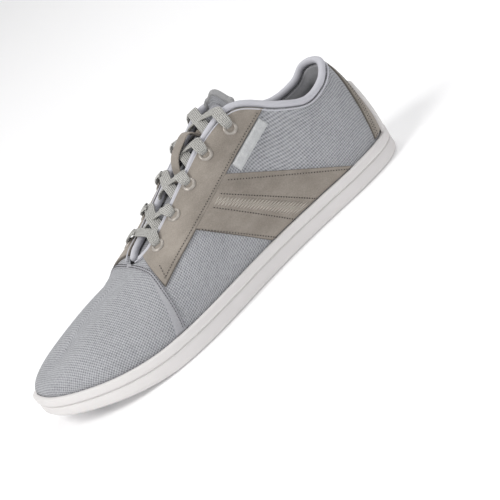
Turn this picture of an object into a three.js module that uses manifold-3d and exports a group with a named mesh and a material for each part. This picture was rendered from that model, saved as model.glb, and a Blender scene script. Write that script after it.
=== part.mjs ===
// One left barefoot shoe, empty and unbent, standing flat on its sole.
// Lengths are in millimetres. +X points to the toe, +Y to the outer side of the foot, +Z up.

import * as THREE from "three";
import { mergeVertices } from "three/addons/utils/BufferGeometryUtils.js";
import Module from "manifold-3d";

const wasm = await Module();
wasm.setup();

// Driving dimensions: the last
const SHOE_LENGTH = 285;
const BALL_WIDTH = 108;
const HEEL_HEIGHT = 72;
const INSTEP_HEIGHT = 90.5;
const TOE_HEIGHT = 39;

// Driving dimensions: the cup sole
const HEEL_RIM = 15.5;
const BALL_RIM = 16.5;
const TOE_RIM = 14;
const TOE_SPRING = 12;
const SPRING_START = 212;
const SPRING_POWER = 1.7;
const CUP_FLOOR = 5;
const RIM_WALL = 3;
const BEAD_HEIGHT = 5.3;
const BEAD_PROUD = 0.5;
const GROOVE_HEIGHT = 1.4;
const GROOVE_DEPTH = 0.9;
const SOLE_EDGE_ROUND = 3.2;
const RIM_EDGE_ROUND = 0.8;
const TREAD_DEPTH = 1.3;
const TREAD_SLOT = 1.8;
const TREAD_PITCH = 13;
const TREAD_ZIGZAG = 4;
const TREAD_TOOTH = 11;
const HEEL_TREAD_FROM = 18;
const HEEL_TREAD_COUNT = 5;
const BALL_TREAD_FROM = 174;
const BALL_TREAD_COUNT = 7;
const GUARD_HEIGHT = 50;
const GUARD_WIDTH = 48;
const GUARD_WALL = 1.6;

// Driving dimensions: upper, lining, insole and tongue
const UPPER_WALL = 2;
const COLLAR_WALL = 3;
const PATCH_WALL = 1;
const INSOLE_THICKNESS = 3;
const INSOLE_EDGE_ROUND = 0.7;
const TONGUE_THICKNESS = 2.6;
const TONGUE_DEPTH = 1;
const TONGUE_RISE = 9;
const TONGUE_CROWN = 1.2;
const TONGUE_TOP_CROWN = 5;
const TONGUE_TOP_ROUND = 0.75;
const TONGUE_TOP_TAPER = 0.86;
const TONGUE_LIFT = 0.8;
const BINDING_RADIUS = 2.4;
const CLEARANCE = 0.3;
const RIM_CLEARANCE = 0.4;

// Driving dimensions: what is sewn over the upper, by its x from the heel and its height z
const EYESTAY_BACK = { x: 69.5, z: 80 };
const EYESTAY_CORNER = { x: 193.6, z: 41 };
const EYESTAY_ROOT = { x: 186.5, z: 60 };
const STRIPE_TOP = { back: 117, front: 155.5 };
const STRIPE_FOOT = { back: 46, front: 120 };
const COUNTER_EDGE = [{ x: 22, z: 12 }, { x: 15, z: 38 }, { x: 11, z: 56 }, { x: 9, z: 68 }];
const VAMP_TAPE_BACK = [{ x: 190.5, z: 50 }, { x: 194.3, z: 41 }, { x: 202.5, z: 14 }];
const VAMP_TAPE_WIDTH = { top: 3, foot: 8.5 };
const SIDE_TAB = { back: 75, front: 109, width: 8 };
const SIDE_TAB_WALL = 1.6;
const KEEPER = { back: 106, front: 132, width: 11, wall: 1, arch: 10 };
const LABEL = { back: 84, front: 91.5, width: 22, wall: 0.6 };

// Driving dimensions: lacing
const EYELET_COUNT = 5;
const EYELET_FIRST = 27;
const EYELET_PITCH = 22;
const EYELET_INSET = 9.5;
const EYELET_BORE = 2.2;
const EYELET_WALL = 0.6;
const EYELET_FLANGE = 4.6;
const EYELET_FLANGE_HEIGHT = 0.9;
const LACE_WIDTH = 7;
const LACE_THICKNESS = 1.2;
const LACE_END_WIDTH = 3;
const LACE_END_GAP = 4.8;

// Mesh fineness
const STEPS_PER_SECTION = 2.5;
const ROUND_SIDES = 8;
const WALL_ROWS = [0.16, 0.34, 0.52, 0.7, 0.86, 1];

// Sections of the last from the heel (0) to the toe (14). x and topX are shares of SHOE_LENGTH;
// outer, inner, half, mid and bulge are shares of BALL_WIDTH; height is a share of the height
// that "of" names; rise, reach and drop shape the wall between the rim and the top edge.
const HEIGHTS = { heel: HEEL_HEIGHT, instep: INSTEP_HEIGHT, toe: TOE_HEIGHT };
const SECTIONS = [
  { x: 0.0, outer: 0.0, inner: 0.0, topX: 0.032, half: 0.0, mid: 0.0, of: "heel", height: 1.0,
    bulge: 0.023, rise: 0.33, reach: 0.75, drop: 0.3 },
  { x: 0.025, outer: 0.185, inner: -0.185, topX: 0.046, half: 0.13, mid: 0.0, of: "heel",
    height: 0.978, bulge: 0.023, rise: 0.33, reach: 0.7, drop: 0.3 },
  { x: 0.077, outer: 0.292, inner: -0.287, topX: 0.084, half: 0.19, mid: 0.0, of: "heel",
    height: 0.893, bulge: 0.014, rise: 0.34, reach: 0.6, drop: 0.3 },
  { x: 0.168, outer: 0.338, inner: -0.329, topX: 0.151, half: 0.241, mid: 0.0, of: "heel",
    height: 0.882, bulge: 0.005, rise: 0.34, reach: 0.55, drop: 0.3 },
  { x: 0.281, outer: 0.343, inner: -0.306, topX: 0.218, half: 0.25, mid: 0.0, of: "instep",
    height: 0.818, bulge: 0.005, rise: 0.33, reach: 0.5, drop: 0.28 },
  { x: 0.386, outer: 0.357, inner: -0.292, topX: 0.295, half: 0.19, mid: 0.0, of: "instep",
    height: 1.0, bulge: 0.009, rise: 0.32, reach: 0.38, drop: 0.22 },
  { x: 0.484, outer: 0.394, inner: -0.324, topX: 0.379, half: 0.142, mid: 0.0, of: "instep",
    height: 0.956, bulge: 0.014, rise: 0.3, reach: 0.48, drop: 0.15 },
  { x: 0.572, outer: 0.44, inner: -0.394, topX: 0.477, half: 0.134, mid: 0.0, of: "instep",
    height: 0.827, bulge: 0.019, rise: 0.3, reach: 0.48, drop: 0.1 },
  { x: 0.653, outer: 0.477, inner: -0.458, topX: 0.572, half: 0.13, mid: 0.0, of: "instep",
    height: 0.692, bulge: 0.023, rise: 0.32, reach: 0.46, drop: 0.06 },
  { x: 0.73, outer: 0.486, inner: -0.505, topX: 0.635, half: 0.112, mid: 0.0, of: "instep",
    height: 0.623, bulge: 0.028, rise: 0.36, reach: 0.46, drop: 0.04 },
  { x: 0.81, outer: 0.454, inner: -0.514, topX: 0.667, half: 0.0, mid: 0.0, of: "instep",
    height: 0.592, bulge: 0.028, rise: 0.4, reach: 0.45, drop: 0.02 },
  { x: 0.888, outer: 0.366, inner: -0.472, topX: 0.744, half: 0.0, mid: -0.014, of: "instep",
    height: 0.553, bulge: 0.023, rise: 0.45, reach: 0.47, drop: 0.02 },
  { x: 0.951, outer: 0.222, inner: -0.38, topX: 0.814, half: 0.0, mid: -0.028, of: "toe",
    height: 1.165, bulge: 0.019, rise: 0.52, reach: 0.48, drop: 0.05 },
  { x: 0.99, outer: 0.065, inner: -0.255, topX: 0.863, half: 0.0, mid: -0.046, of: "toe",
    height: 1.05, bulge: 0.014, rise: 0.6, reach: 0.5, drop: 0.2 },
  { x: 1.0, outer: -0.093, inner: -0.093, topX: 0.884, half: 0.0, mid: -0.06, of: "toe",
    height: 1.0, bulge: 0.009, rise: 0.62, reach: 0.45, drop: 0.3 },
];
const TOE_SECTION = SECTIONS.length - 1;
const THROAT_SECTION = SECTIONS.findIndex((row, index) => index > 0 && row.half === 0);
const RING_SECTIONS = 2 * TOE_SECTION;

// Curves through the tables

// Value at place t of a smooth curve through the listed values; a closed list runs round.
function smooth(values, t, closed = false) {
  const count = values.length;
  const last = closed ? count : count - 1;
  const index = Math.min(Math.floor(t), last - 1);
  const share = t - index;
  const at = (k) => (closed ? values[(k + count) % count] : values[Math.min(Math.max(k, 0), count - 1)]);
  const [before, start, end, after] = [at(index - 1), at(index), at(index + 1), at(index + 2)];
  const startSlope = (end - before) / 2;
  const endSlope = (after - start) / 2;
  const square = share * share;
  const cube = square * share;
  return (2 * cube - 3 * square + 1) * start + (cube - 2 * square + share) * startSlope
    + (3 * square - 2 * cube) * end + (cube - square) * endSlope;
}

// A closed ring of values: up the outer side from the heel, back along the inner side.
function ringOf(rows, outerValue, innerValue) {
  const outer = rows.map(outerValue);
  const inner = rows.map(innerValue).slice(1, -1).reverse();
  return outer.concat(inner);
}

const EDGE_ROWS = SECTIONS.slice(0, THROAT_SECTION + 1);
const RIDGE_ROWS = SECTIONS.slice(THROAT_SECTION);
const topHeight = (row) => row.height * HEIGHTS[row.of];
const OUTLINE_X = ringOf(SECTIONS, (row) => row.x * SHOE_LENGTH, (row) => row.x * SHOE_LENGTH);
const OUTLINE_Y = ringOf(SECTIONS, (row) => row.outer * BALL_WIDTH, (row) => row.inner * BALL_WIDTH);
const EDGE_X = ringOf(EDGE_ROWS, (row) => row.topX * SHOE_LENGTH, (row) => row.topX * SHOE_LENGTH);
const EDGE_Y = ringOf(EDGE_ROWS, (row) => row.half * BALL_WIDTH, (row) => -row.half * BALL_WIDTH);
const EDGE_Z = ringOf(EDGE_ROWS, topHeight, topHeight);
const RIDGE_X = RIDGE_ROWS.map((row) => row.topX * SHOE_LENGTH);
const RIDGE_Y = RIDGE_ROWS.map((row) => row.mid * BALL_WIDTH);
const RIDGE_Z = RIDGE_ROWS.map(topHeight);

const column = (name) => SECTIONS.map((row) => row[name]);
const BULGE = column("bulge");
const RISE = column("rise");
const REACH = column("reach");
const DROP = column("drop");

// Place round the ring for a side (+1 outer, -1 inner) and a section place.
const ringPlace = (side, section) => (side > 0 ? section : RING_SECTIONS - section);

// Point of the sole's outline, moved inwards by inset.
function outlinePoint(place, inset) {
  const wrapped = ((place % RING_SECTIONS) + RING_SECTIONS) % RING_SECTIONS;
  const step = 0.02;
  const point = (at) => new THREE.Vector2(
    smooth(OUTLINE_X, (at + RING_SECTIONS) % RING_SECTIONS, true),
    smooth(OUTLINE_Y, (at + RING_SECTIONS) % RING_SECTIONS, true),
  );
  const along = point(wrapped + step).sub(point(wrapped - step)).normalize();
  const outward = new THREE.Vector2(-along.y, along.x);
  return point(wrapped).addScaledVector(outward, -inset);
}

const springAt = (x) => TOE_SPRING
  * Math.max(0, (x - SPRING_START) / (SHOE_LENGTH - SPRING_START)) ** SPRING_POWER;

// Height of the sole's rim above its tread, from heel through ball to toe.
function rimHeightAt(x) {
  const share = x / SPRING_START;
  const forward = (x - SPRING_START) / (SHOE_LENGTH - SPRING_START);
  const toBall = HEEL_RIM + (BALL_RIM - HEEL_RIM) * Math.min(1, share);
  return toBall + (TOE_RIM - BALL_RIM) * Math.max(0, forward);
}

// Point of the upper's top edge, or of its ridge in front of the throat.
function topPoint(side, section) {
  if (section >= THROAT_SECTION) {
    const place = section - THROAT_SECTION;
    return new THREE.Vector3(smooth(RIDGE_X, place), smooth(RIDGE_Y, place), smooth(RIDGE_Z, place));
  }
  const place = side > 0 ? section : (2 * THROAT_SECTION - section) % (2 * THROAT_SECTION);
  return new THREE.Vector3(
    smooth(EDGE_X, place, true),
    smooth(EDGE_Y, place, true),
    smooth(EDGE_Z, place, true),
  );
}

const UPPER_INSET = RIM_WALL + CLEARANCE;

// Point of the upper's outer face. share 0 is level with the rim and 1 is the top edge or ridge;
// below 0 the wall goes straight down into the cup, to its floor at -1.
function upperPoint(side, section, share) {
  const place = ringPlace(side, section);
  const foot = outlinePoint(place, UPPER_INSET);
  const outlineX = outlinePoint(place, 0).x;
  const spring = springAt(outlineX);
  const start = new THREE.Vector3(foot.x, foot.y, spring + rimHeightAt(outlineX));
  if (share < 0) {
    const bottom = spring + CUP_FLOOR + CLEARANCE;
    return start.setZ(start.z + share * (start.z - bottom));
  }
  const end = topPoint(side, section);
  const climb = end.z - start.z;
  const away = outlinePoint(place, 0).sub(foot).normalize().multiplyScalar(smooth(BULGE, section) * BALL_WIDTH);
  const second = start.clone().add(new THREE.Vector3(away.x, away.y, smooth(RISE, section) * climb));
  const out = new THREE.Vector3(start.x - end.x, start.y - end.y, 0).multiplyScalar(smooth(REACH, section));
  const third = end.clone().add(out).setZ(end.z - smooth(DROP, section) * climb);
  return new THREE.CubicBezierCurve3(start, second, third, end).getPoint(share);
}

// Share up the wall just above the rim, where what lies over the upper begins.
function rimShare(side, section) {
  const start = upperPoint(side, section, 0);
  const climb = topPoint(side, section).z - start.z;
  return RIM_CLEARANCE / (3 * smooth(RISE, section) * climb);
}

// Outward direction of the upper at a place on its wall.
function upperNormal(side, section, share) {
  const step = 0.01;
  const back = Math.max(0, section - step);
  const on = Math.min(TOE_SECTION, section + step);
  const along = upperPoint(side, on, share).sub(upperPoint(side, back, share));
  const low = Math.max(0, share - step);
  const high = Math.min(1, share + step);
  const up = upperPoint(side, section, high).sub(upperPoint(side, section, low));
  return along.cross(up).multiplyScalar(-side).normalize();
}

// Solids from point grids

// Joins equal points and drops triangles that they leave without area.
function geometryOf(points, triangles) {
  const geometry = new THREE.BufferGeometry();
  geometry.setAttribute("position", new THREE.Float32BufferAttribute(points.flatMap((p) => [p.x, p.y, p.z]), 3));
  geometry.setIndex(triangles.flat());
  const merged = mergeVertices(geometry, 1e-4);
  const index = merged.getIndex().array;
  const kept = [];
  for (let i = 0; i < index.length; i += 3) {
    const [a, b, c] = [index[i], index[i + 1], index[i + 2]];
    if (a !== b && b !== c && c !== a) {
      kept.push(a, b, c);
    }
  }
  merged.setIndex(kept);
  return merged;
}

// Closed solid of a geometry whose points are shared.
function solidOf(geometry) {
  const bare = geometry.index && !geometry.attributes.normal ? geometry : withoutExtras(geometry);
  return new wasm.Manifold(new wasm.Mesh({
    numProp: 3,
    vertProperties: new Float32Array(bare.attributes.position.array),
    triVerts: new Uint32Array(bare.getIndex().array),
  }));
}

function withoutExtras(geometry) {
  const copy = geometry.clone();
  copy.deleteAttribute("normal");
  copy.deleteAttribute("uv");
  return mergeVertices(copy, 1e-4);
}

function geometryFromSolid(solid) {
  const mesh = solid.getMesh();
  const geometry = new THREE.BufferGeometry();
  const positions = new Float32Array(mesh.numVert * 3);
  for (let i = 0; i < mesh.numVert; i += 1) {
    for (let k = 0; k < 3; k += 1) {
      positions[3 * i + k] = mesh.vertProperties[mesh.numProp * i + k];
    }
  }
  geometry.setAttribute("position", new THREE.BufferAttribute(positions, 3));
  geometry.setIndex(Array.from(mesh.triVerts));
  return geometry;
}

// Triangles between two rows of point numbers; a closed row joins its end to its start.
function band(low, high, closed) {
  const triangles = [];
  const count = closed ? low.length : low.length - 1;
  for (let i = 0; i < count; i += 1) {
    const next = (i + 1) % low.length;
    triangles.push([low[i], low[next], high[next]], [low[i], high[next], high[i]]);
  }
  return triangles;
}

const flipped = (triangles) => triangles.map(([a, b, c]) => [a, c, b]);

// Sole and insole

const RING_STEPS = RING_SECTIONS * STEPS_PER_SECTION;
const RING_PLACES = Array.from({ length: RING_STEPS }, (unused, i) => i / STEPS_PER_SECTION);

// A solid turned round the outline from a profile of { inset, z } rows, whose first row closes
// its bottom and whose last row closes its top. z is above the tread line.
function ringSolid(profile) {
  const points = [];
  const rows = profile.map((row) => RING_PLACES.map((place) => {
    const flat = outlinePoint(place, row.inset);
    const x = outlinePoint(place, 0).x;
    const z = row.underRim === undefined ? row.z : rimHeightAt(x) - row.underRim;
    points.push(new THREE.Vector3(flat.x, flat.y, z + springAt(x)));
    return points.length - 1;
  }));
  const triangles = [];
  for (let i = 0; i + 1 < rows.length; i += 1) {
    triangles.push(...flipped(band(rows[i], rows[i + 1], true)));
  }
  triangles.push(...ladder(rows[0]), ...flipped(ladder(rows[rows.length - 1])));
  return geometryOf(points, triangles);
}

// Cap across a ring, by rungs between the outer and inner side.
function ladder(row) {
  const triangles = [];
  const count = row.length;
  for (let i = 0; i < count / 2; i += 1) {
    const [a, b] = [row[i], row[i + 1]];
    const [c, d] = [row[(count - i) % count], row[count - i - 1]];
    if (i > 0) {
      triangles.push([a, b, c]);
    }
    if (i < count / 2 - 1) {
      triangles.push([b, d, c]);
    }
  }
  return triangles;
}

// Zigzag slot across the tread at x, as deep as the tread.
function treadSlot(x) {
  const half = BALL_WIDTH * 0.7;
  const teeth = Math.ceil(half / TREAD_TOOTH);
  const line = [];
  for (let i = -teeth; i <= teeth; i += 1) {
    line.push(new THREE.Vector2(i % 2 === 0 ? -TREAD_ZIGZAG / 2 : TREAD_ZIGZAG / 2, i * TREAD_TOOTH));
  }
  const near = line.map((p) => new THREE.Vector2(p.x - TREAD_SLOT / 2, p.y));
  const far = line.map((p) => new THREE.Vector2(p.x + TREAD_SLOT / 2, p.y));
  const shape = new THREE.Shape(near.concat(far.reverse()));
  const below = TREAD_DEPTH * 4;
  const depth = below + springAt(x) + TREAD_DEPTH;
  const slot = new THREE.ExtrudeGeometry(shape, { depth, bevelEnabled: false });
  return slot.translate(x, 0, -below);
}

function treadSlots() {
  const places = [];
  for (let i = 0; i < HEEL_TREAD_COUNT; i += 1) {
    places.push(HEEL_TREAD_FROM + i * TREAD_PITCH);
  }
  for (let i = 0; i < BALL_TREAD_COUNT; i += 1) {
    places.push(BALL_TREAD_FROM + i * TREAD_PITCH);
  }
  return places.map(treadSlot);
}

// Cup sole: rounded tread edge, side wall with a groove under its bead, and the cup's inside.
function outsoleGeometry() {
  const beadBottom = BEAD_HEIGHT + GROOVE_HEIGHT;
  const cup = ringSolid([
    { inset: SOLE_EDGE_ROUND, z: 0 },
    { inset: SOLE_EDGE_ROUND * 0.35, z: SOLE_EDGE_ROUND * 0.3 },
    { inset: 0, z: SOLE_EDGE_ROUND },
    { inset: 0, underRim: beadBottom },
    { inset: GROOVE_DEPTH, underRim: beadBottom - GROOVE_HEIGHT * 0.4 },
    { inset: -BEAD_PROUD, underRim: BEAD_HEIGHT - GROOVE_HEIGHT * 0.3 },
    { inset: -BEAD_PROUD, underRim: RIM_EDGE_ROUND },
    { inset: RIM_EDGE_ROUND - BEAD_PROUD, underRim: 0 },
    { inset: RIM_WALL, underRim: 0 },
    { inset: RIM_WALL, z: CUP_FLOOR },
  ]);
  let sole = solidOf(cup);
  for (const slot of treadSlots()) {
    sole = sole.subtract(solidOf(slot));
  }
  return geometryFromSolid(sole.add(heelGuard()));
}

function insoleGeometry() {
  const inset = UPPER_INSET + UPPER_WALL + CLEARANCE;
  const bottom = CUP_FLOOR + CLEARANCE;
  return ringSolid([
    { inset: inset + INSOLE_EDGE_ROUND, z: bottom },
    { inset, z: bottom + INSOLE_EDGE_ROUND },
    { inset, z: bottom + INSOLE_THICKNESS - INSOLE_EDGE_ROUND },
    { inset: inset + INSOLE_EDGE_ROUND, z: bottom + INSOLE_THICKNESS },
  ]);
}

// Upper

// Shares up the wall for the rows of the upper's mesh at one section.
function wallRows(side, section, fromRim) {
  const rows = [rimShare(side, section), ...WALL_ROWS];
  return fromRim ? rows : [-1, ...rows];
}

// The upper's outer face as shared points with their place and outward direction. The last row
// is the top edge round the collar and throat, and one shared ridge in front of it.
function upperSkin(fromRim) {
  const points = [];
  const places = [];
  const rowCount = wallRows(1, 0, fromRim).length;
  const rows = Array.from({ length: rowCount }, () => []);
  RING_PLACES.forEach((place, column) => {
    const side = place <= TOE_SECTION ? 1 : -1;
    const section = side > 0 ? place : RING_SECTIONS - place;
    wallRows(side, section, fromRim).forEach((share, row) => {
      const onRidge = row === rowCount - 1 && section >= THROAT_SECTION && side < 0;
      if (onRidge) {
        rows[row].push(rows[row][RING_STEPS - column]);
        return;
      }
      points.push(upperPoint(side, section, share));
      places.push({ side, section, share });
      rows[row].push(points.length - 1);
    });
  });
  const triangles = [];
  for (let row = 0; row + 1 < rowCount; row += 1) {
    triangles.push(...flipped(band(rows[row], rows[row + 1], true)));
  }
  const solidTriangles = triangles.filter(([a, b, c]) => a !== b && b !== c && c !== a);
  return { points, places, rows, triangles: solidTriangles, normals: pointNormals(points, solidTriangles) };
}

function pointNormals(points, triangles) {
  const normals = points.map(() => new THREE.Vector3());
  for (const [a, b, c] of triangles) {
    const ab = points[b].clone().sub(points[a]);
    const ac = points[c].clone().sub(points[a]);
    const face = ab.cross(ac);
    [a, b, c].forEach((i) => normals[i].add(face));
  }
  return normals.map((normal) => normal.normalize());
}

// A shell between two distances from the upper's outer face, each a function of the place.
function shellOf(skin, innerOffset, outerOffset) {
  const count = skin.points.length;
  const offsetPoint = (offset) => (point, i) => point.clone()
    .addScaledVector(skin.normals[i], offset(skin.places[i]));
  const points = skin.points.map(offsetPoint(outerOffset)).concat(skin.points.map(offsetPoint(innerOffset)));
  const inner = flipped(skin.triangles).map((triangle) => triangle.map((i) => i + count));
  const triangles = skin.triangles.concat(inner);
  const hem = skin.rows[0];
  triangles.push(...band(hem, hem.map((i) => i + count), true));
  const top = skin.rows[skin.rows.length - 1];
  const throat = THROAT_SECTION * STEPS_PER_SECTION;
  const edge = top.slice(RING_STEPS - throat).concat(top.slice(0, throat + 1));
  triangles.push(...flipped(band(edge, edge.map((i) => i + count), false)));
  return solidOf(geometryOf(points, triangles));
}

// Wall thickness: the cloth's own, growing to the padded collar's near its top edge.
function wallAt({ section, share }) {
  const collar = THREE.MathUtils.smoothstep(share, 0.45, 0.85);
  const round = 1 - THREE.MathUtils.smoothstep(section, 4.5, 6);
  return UPPER_WALL + (COLLAR_WALL - UPPER_WALL) * collar * round;
}

const FULL_SKIN = upperSkin(false);
const COVER_SKIN = upperSkin(true);

// Cylinder through the wall at an eyelet.
function eyeletDrill(spot) {
  const length = 16;
  const drill = new THREE.CylinderGeometry(DRILL_RADIUS, DRILL_RADIUS, length, ROUND_SIDES);
  return solidOf(placedAt(drill, spot, 0));
}

const DRILL_RADIUS = EYELET_BORE + EYELET_WALL + CLEARANCE;

// Turns a shape made round +Y onto the wall's outward direction, at a height over the wall.
function placedAt(geometry, spot, height) {
  const turn = new THREE.Quaternion().setFromUnitVectors(new THREE.Vector3(0, 1, 0), spot.normal);
  const matrix = new THREE.Matrix4().compose(
    spot.point.clone().addScaledVector(spot.normal, height),
    turn,
    new THREE.Vector3(1, 1, 1),
  );
  return geometry.clone().applyMatrix4(matrix);
}

// Section place on the throat's edge at a length from the bottom of the throat.
function throatPlace(length) {
  const step = 0.02;
  let walked = 0;
  let section = THROAT_SECTION;
  let point = topPoint(1, section);
  while (walked < length && section > step) {
    section -= step;
    const next = topPoint(1, section);
    walked += next.distanceTo(point);
    point = next;
  }
  return section;
}

// Place on the wall at a distance below the top edge of a section.
function spotBelowEdge(side, section, distance) {
  const step = 0.005;
  let walked = 0;
  let share = 1;
  let point = upperPoint(side, section, share);
  while (walked < distance && share > step) {
    share -= step;
    const next = upperPoint(side, section, share);
    walked += next.distanceTo(point);
    point = next;
  }
  return { point, normal: upperNormal(side, section, share), side, section, share };
}

const EYELET_SPOTS = [1, -1].map((side) => Array.from({ length: EYELET_COUNT }, (unused, i) => {
  const section = throatPlace(EYELET_FIRST + i * EYELET_PITCH);
  return spotBelowEdge(side, section, EYELET_INSET);
}));

function upperGeometry() {
  let upper = shellOf(FULL_SKIN, (place) => -wallAt(place), () => 0);
  for (const spot of EYELET_SPOTS.flat()) {
    upper = upper.subtract(eyeletDrill(spot));
  }
  return geometryFromSolid(upper);
}

// What lies over the upper

const PATCH_OFFSET = CLEARANCE + 0.1;
const PATCH_TOP = PATCH_OFFSET + PATCH_WALL;
const COVER = shellOf(COVER_SKIN, () => PATCH_OFFSET, () => PATCH_TOP);

// Prism over an outline of [x, z] points, across y from one value to another.
function sidePrism(outline, fromY, toY) {
  const shape = new THREE.Shape(outline.map(([x, z]) => new THREE.Vector2(x, z)));
  const prism = new THREE.ExtrudeGeometry(shape, { depth: Math.abs(toY - fromY), bevelEnabled: false });
  return solidOf(prism.rotateX(Math.PI / 2).translate(0, Math.max(fromY, toY), 0));
}

// Pale guard that rises from the rim over the back of the heel.
function heelGuard() {
  const inside = PATCH_TOP + CLEARANCE;
  const guard = shellOf(FULL_SKIN, () => inside, () => inside + GUARD_WALL);
  const half = GUARD_WIDTH / 2;
  const foot = HEEL_RIM - BEAD_HEIGHT;
  const shape = new THREE.Shape();
  shape.moveTo(-half, foot);
  shape.lineTo(half, foot);
  shape.lineTo(half, HEEL_RIM);
  shape.quadraticCurveTo(half * 0.8, GUARD_HEIGHT * 0.75, half * 0.66, GUARD_HEIGHT * 0.96);
  shape.quadraticCurveTo(half * 0.6, GUARD_HEIGHT, half * 0.4, GUARD_HEIGHT);
  shape.lineTo(-half * 0.4, GUARD_HEIGHT);
  shape.quadraticCurveTo(-half * 0.6, GUARD_HEIGHT, -half * 0.66, GUARD_HEIGHT * 0.96);
  shape.quadraticCurveTo(-half * 0.8, GUARD_HEIGHT * 0.75, -half, HEEL_RIM);
  shape.closePath();
  const back = new THREE.ExtrudeGeometry(shape, { depth: SHOE_LENGTH * 0.2, curveSegments: 4, bevelEnabled: false });
  const turned = back.applyMatrix4(new THREE.Matrix4().makeBasis(
    new THREE.Vector3(0, 1, 0),
    new THREE.Vector3(0, 0, 1),
    new THREE.Vector3(1, 0, 0),
  )).translate(-SHOE_LENGTH * 0.05, 0, 0);
  return guard.intersect(solidOf(turned));
}

// Height of the eyestay's lower edge at x.
function eyestayEdgeAt(x) {
  const slope = (EYESTAY_CORNER.z - EYESTAY_BACK.z) / (EYESTAY_CORNER.x - EYESTAY_BACK.x);
  return EYESTAY_BACK.z + slope * (x - EYESTAY_BACK.x);
}

const ABOVE_ALL = INSTEP_HEIGHT * 1.5;
const BELOW_ALL = -TOE_SPRING;
const SEAM_GAP = CLEARANCE + 0.1;

// A piece of a cover shell on one side of the shoe, inside an outline of [x, z] points.
function sidePanel(cover, side, outline) {
  return cover.intersect(sidePrism(outline, side * CLEARANCE, side * BALL_WIDTH));
}

function eyestayGeometry(side) {
  const panel = sidePanel(COVER, side, [
    [EYESTAY_BACK.x, ABOVE_ALL],
    [EYESTAY_BACK.x, EYESTAY_BACK.z],
    [EYESTAY_CORNER.x, EYESTAY_CORNER.z],
    [VAMP_TAPE_BACK[0].x - SEAM_GAP, VAMP_TAPE_BACK[0].z],
    [EYESTAY_ROOT.x, EYESTAY_ROOT.z],
    [EYESTAY_ROOT.x, ABOVE_ALL],
  ]);
  const spots = EYELET_SPOTS[side > 0 ? 0 : 1];
  return geometryFromSolid(spots.reduce((solid, spot) => solid.subtract(eyeletDrill(spot)), panel));
}

function stripeGeometry(side) {
  return geometryFromSolid(sidePanel(COVER, side, [
    [STRIPE_TOP.back, eyestayEdgeAt(STRIPE_TOP.back) - SEAM_GAP],
    [STRIPE_FOOT.back, HEEL_RIM],
    [STRIPE_FOOT.back, BELOW_ALL],
    [STRIPE_FOOT.front, BELOW_ALL],
    [STRIPE_FOOT.front, HEEL_RIM],
    [STRIPE_TOP.front, eyestayEdgeAt(STRIPE_TOP.front) - SEAM_GAP],
  ]));
}

function counterGeometry() {
  const front = COUNTER_EDGE.map(({ x, z }) => [x, z]);
  const outline = [[-COUNTER_EDGE[0].x, BELOW_ALL], [COUNTER_EDGE[0].x, BELOW_ALL], ...front];
  outline.push([COUNTER_EDGE[3].x, ABOVE_ALL], [-COUNTER_EDGE[0].x, ABOVE_ALL]);
  return geometryFromSolid(COVER.intersect(sidePrism(outline, -BALL_WIDTH, BALL_WIDTH)));
}

// Tape over the seam between vamp and quarters, from the rim over the throat's root to the rim.
function vampTapeGeometry() {
  const [high, low, foot] = VAMP_TAPE_BACK;
  const root = { x: Math.max(high.x, topPoint(1, THROAT_SECTION).x + SEAM_GAP), z: ABOVE_ALL };
  const { top, foot: wide } = VAMP_TAPE_WIDTH;
  const outline = [root, high, low, foot].map(({ x, z }) => [x, z]);
  const widths = [wide, THREE.MathUtils.lerp(top, wide, 0.4), top, top];
  [foot, low, high, root].forEach(({ x, z }, i) => outline.push([x + widths[i], z]));
  return geometryFromSolid(COVER.intersect(sidePrism(outline, -BALL_WIDTH, BALL_WIDTH)));
}

// Blank folded tape that lies below the outer eyestay's edge.
function sideTabGeometry() {
  const tab = shellOf(COVER_SKIN, () => PATCH_OFFSET, () => PATCH_OFFSET + SIDE_TAB_WALL);
  const corner = (x, down) => [x, eyestayEdgeAt(x) - SEAM_GAP - down];
  return geometryFromSolid(sidePanel(tab, 1, [
    corner(SIDE_TAB.back, 0),
    corner(SIDE_TAB.back, SIDE_TAB.width),
    corner(SIDE_TAB.front, SIDE_TAB.width),
    corner(SIDE_TAB.front, 0),
  ]));
}

// Sweeps

// Closed solid through rings of points, each ring in the same order round the path.
function loftGeometry(rings) {
  const width = rings[0].length;
  const numbers = rings.map((ring, r) => ring.map((unused, k) => r * width + k));
  const triangles = [];
  for (let r = 0; r + 1 < numbers.length; r += 1) {
    triangles.push(...band(numbers[r], numbers[r + 1], true));
  }
  const fan = (ring) => ring.slice(1, -1).map((unused, k) => [ring[0], ring[k + 1], ring[k + 2]]);
  triangles.push(...flipped(fan(numbers[0])), ...fan(numbers[numbers.length - 1]));
  return geometryOf(rings.flat(), flipped(triangles));
}

// Flat band along a curve: each stop holds its point, outward direction and width.
function ribbonGeometry(stops, thickness) {
  return loftGeometry(stops.map((stop, i) => {
    const before = stops[Math.max(0, i - 1)].point;
    const after = stops[Math.min(stops.length - 1, i + 1)].point;
    const along = after.clone().sub(before).normalize();
    const across = along.clone().cross(stop.out).normalize();
    const up = across.clone().cross(along).normalize();
    const corner = (a, b) => stop.point.clone()
      .addScaledVector(across, a * stop.width / 2)
      .addScaledVector(up, b * thickness / 2);
    return [corner(1, -1), corner(1, 1), corner(-1, 1), corner(-1, -1)];
  }));
}

// Middle of the knitted roll that sits on the upper's top edge, in line with its wall.
function rollCentre(side, section) {
  const edge = topPoint(side, section);
  const step = 0.5 / STEPS_PER_SECTION;
  const below = upperPoint(side, section, WALL_ROWS[WALL_ROWS.length - 2]);
  const back = section > step ? topPoint(side, section - step) : topPoint(-side, step - section);
  const along = topPoint(side, section + step).sub(back).normalize();
  const upward = edge.clone().sub(below).projectOnPlane(along).normalize();
  const inward = along.cross(upward).multiplyScalar(side * wallAt({ section, share: 1 }) / 2);
  return edge.add(inward).addScaledVector(upward, BINDING_RADIUS + CLEARANCE);
}

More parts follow.
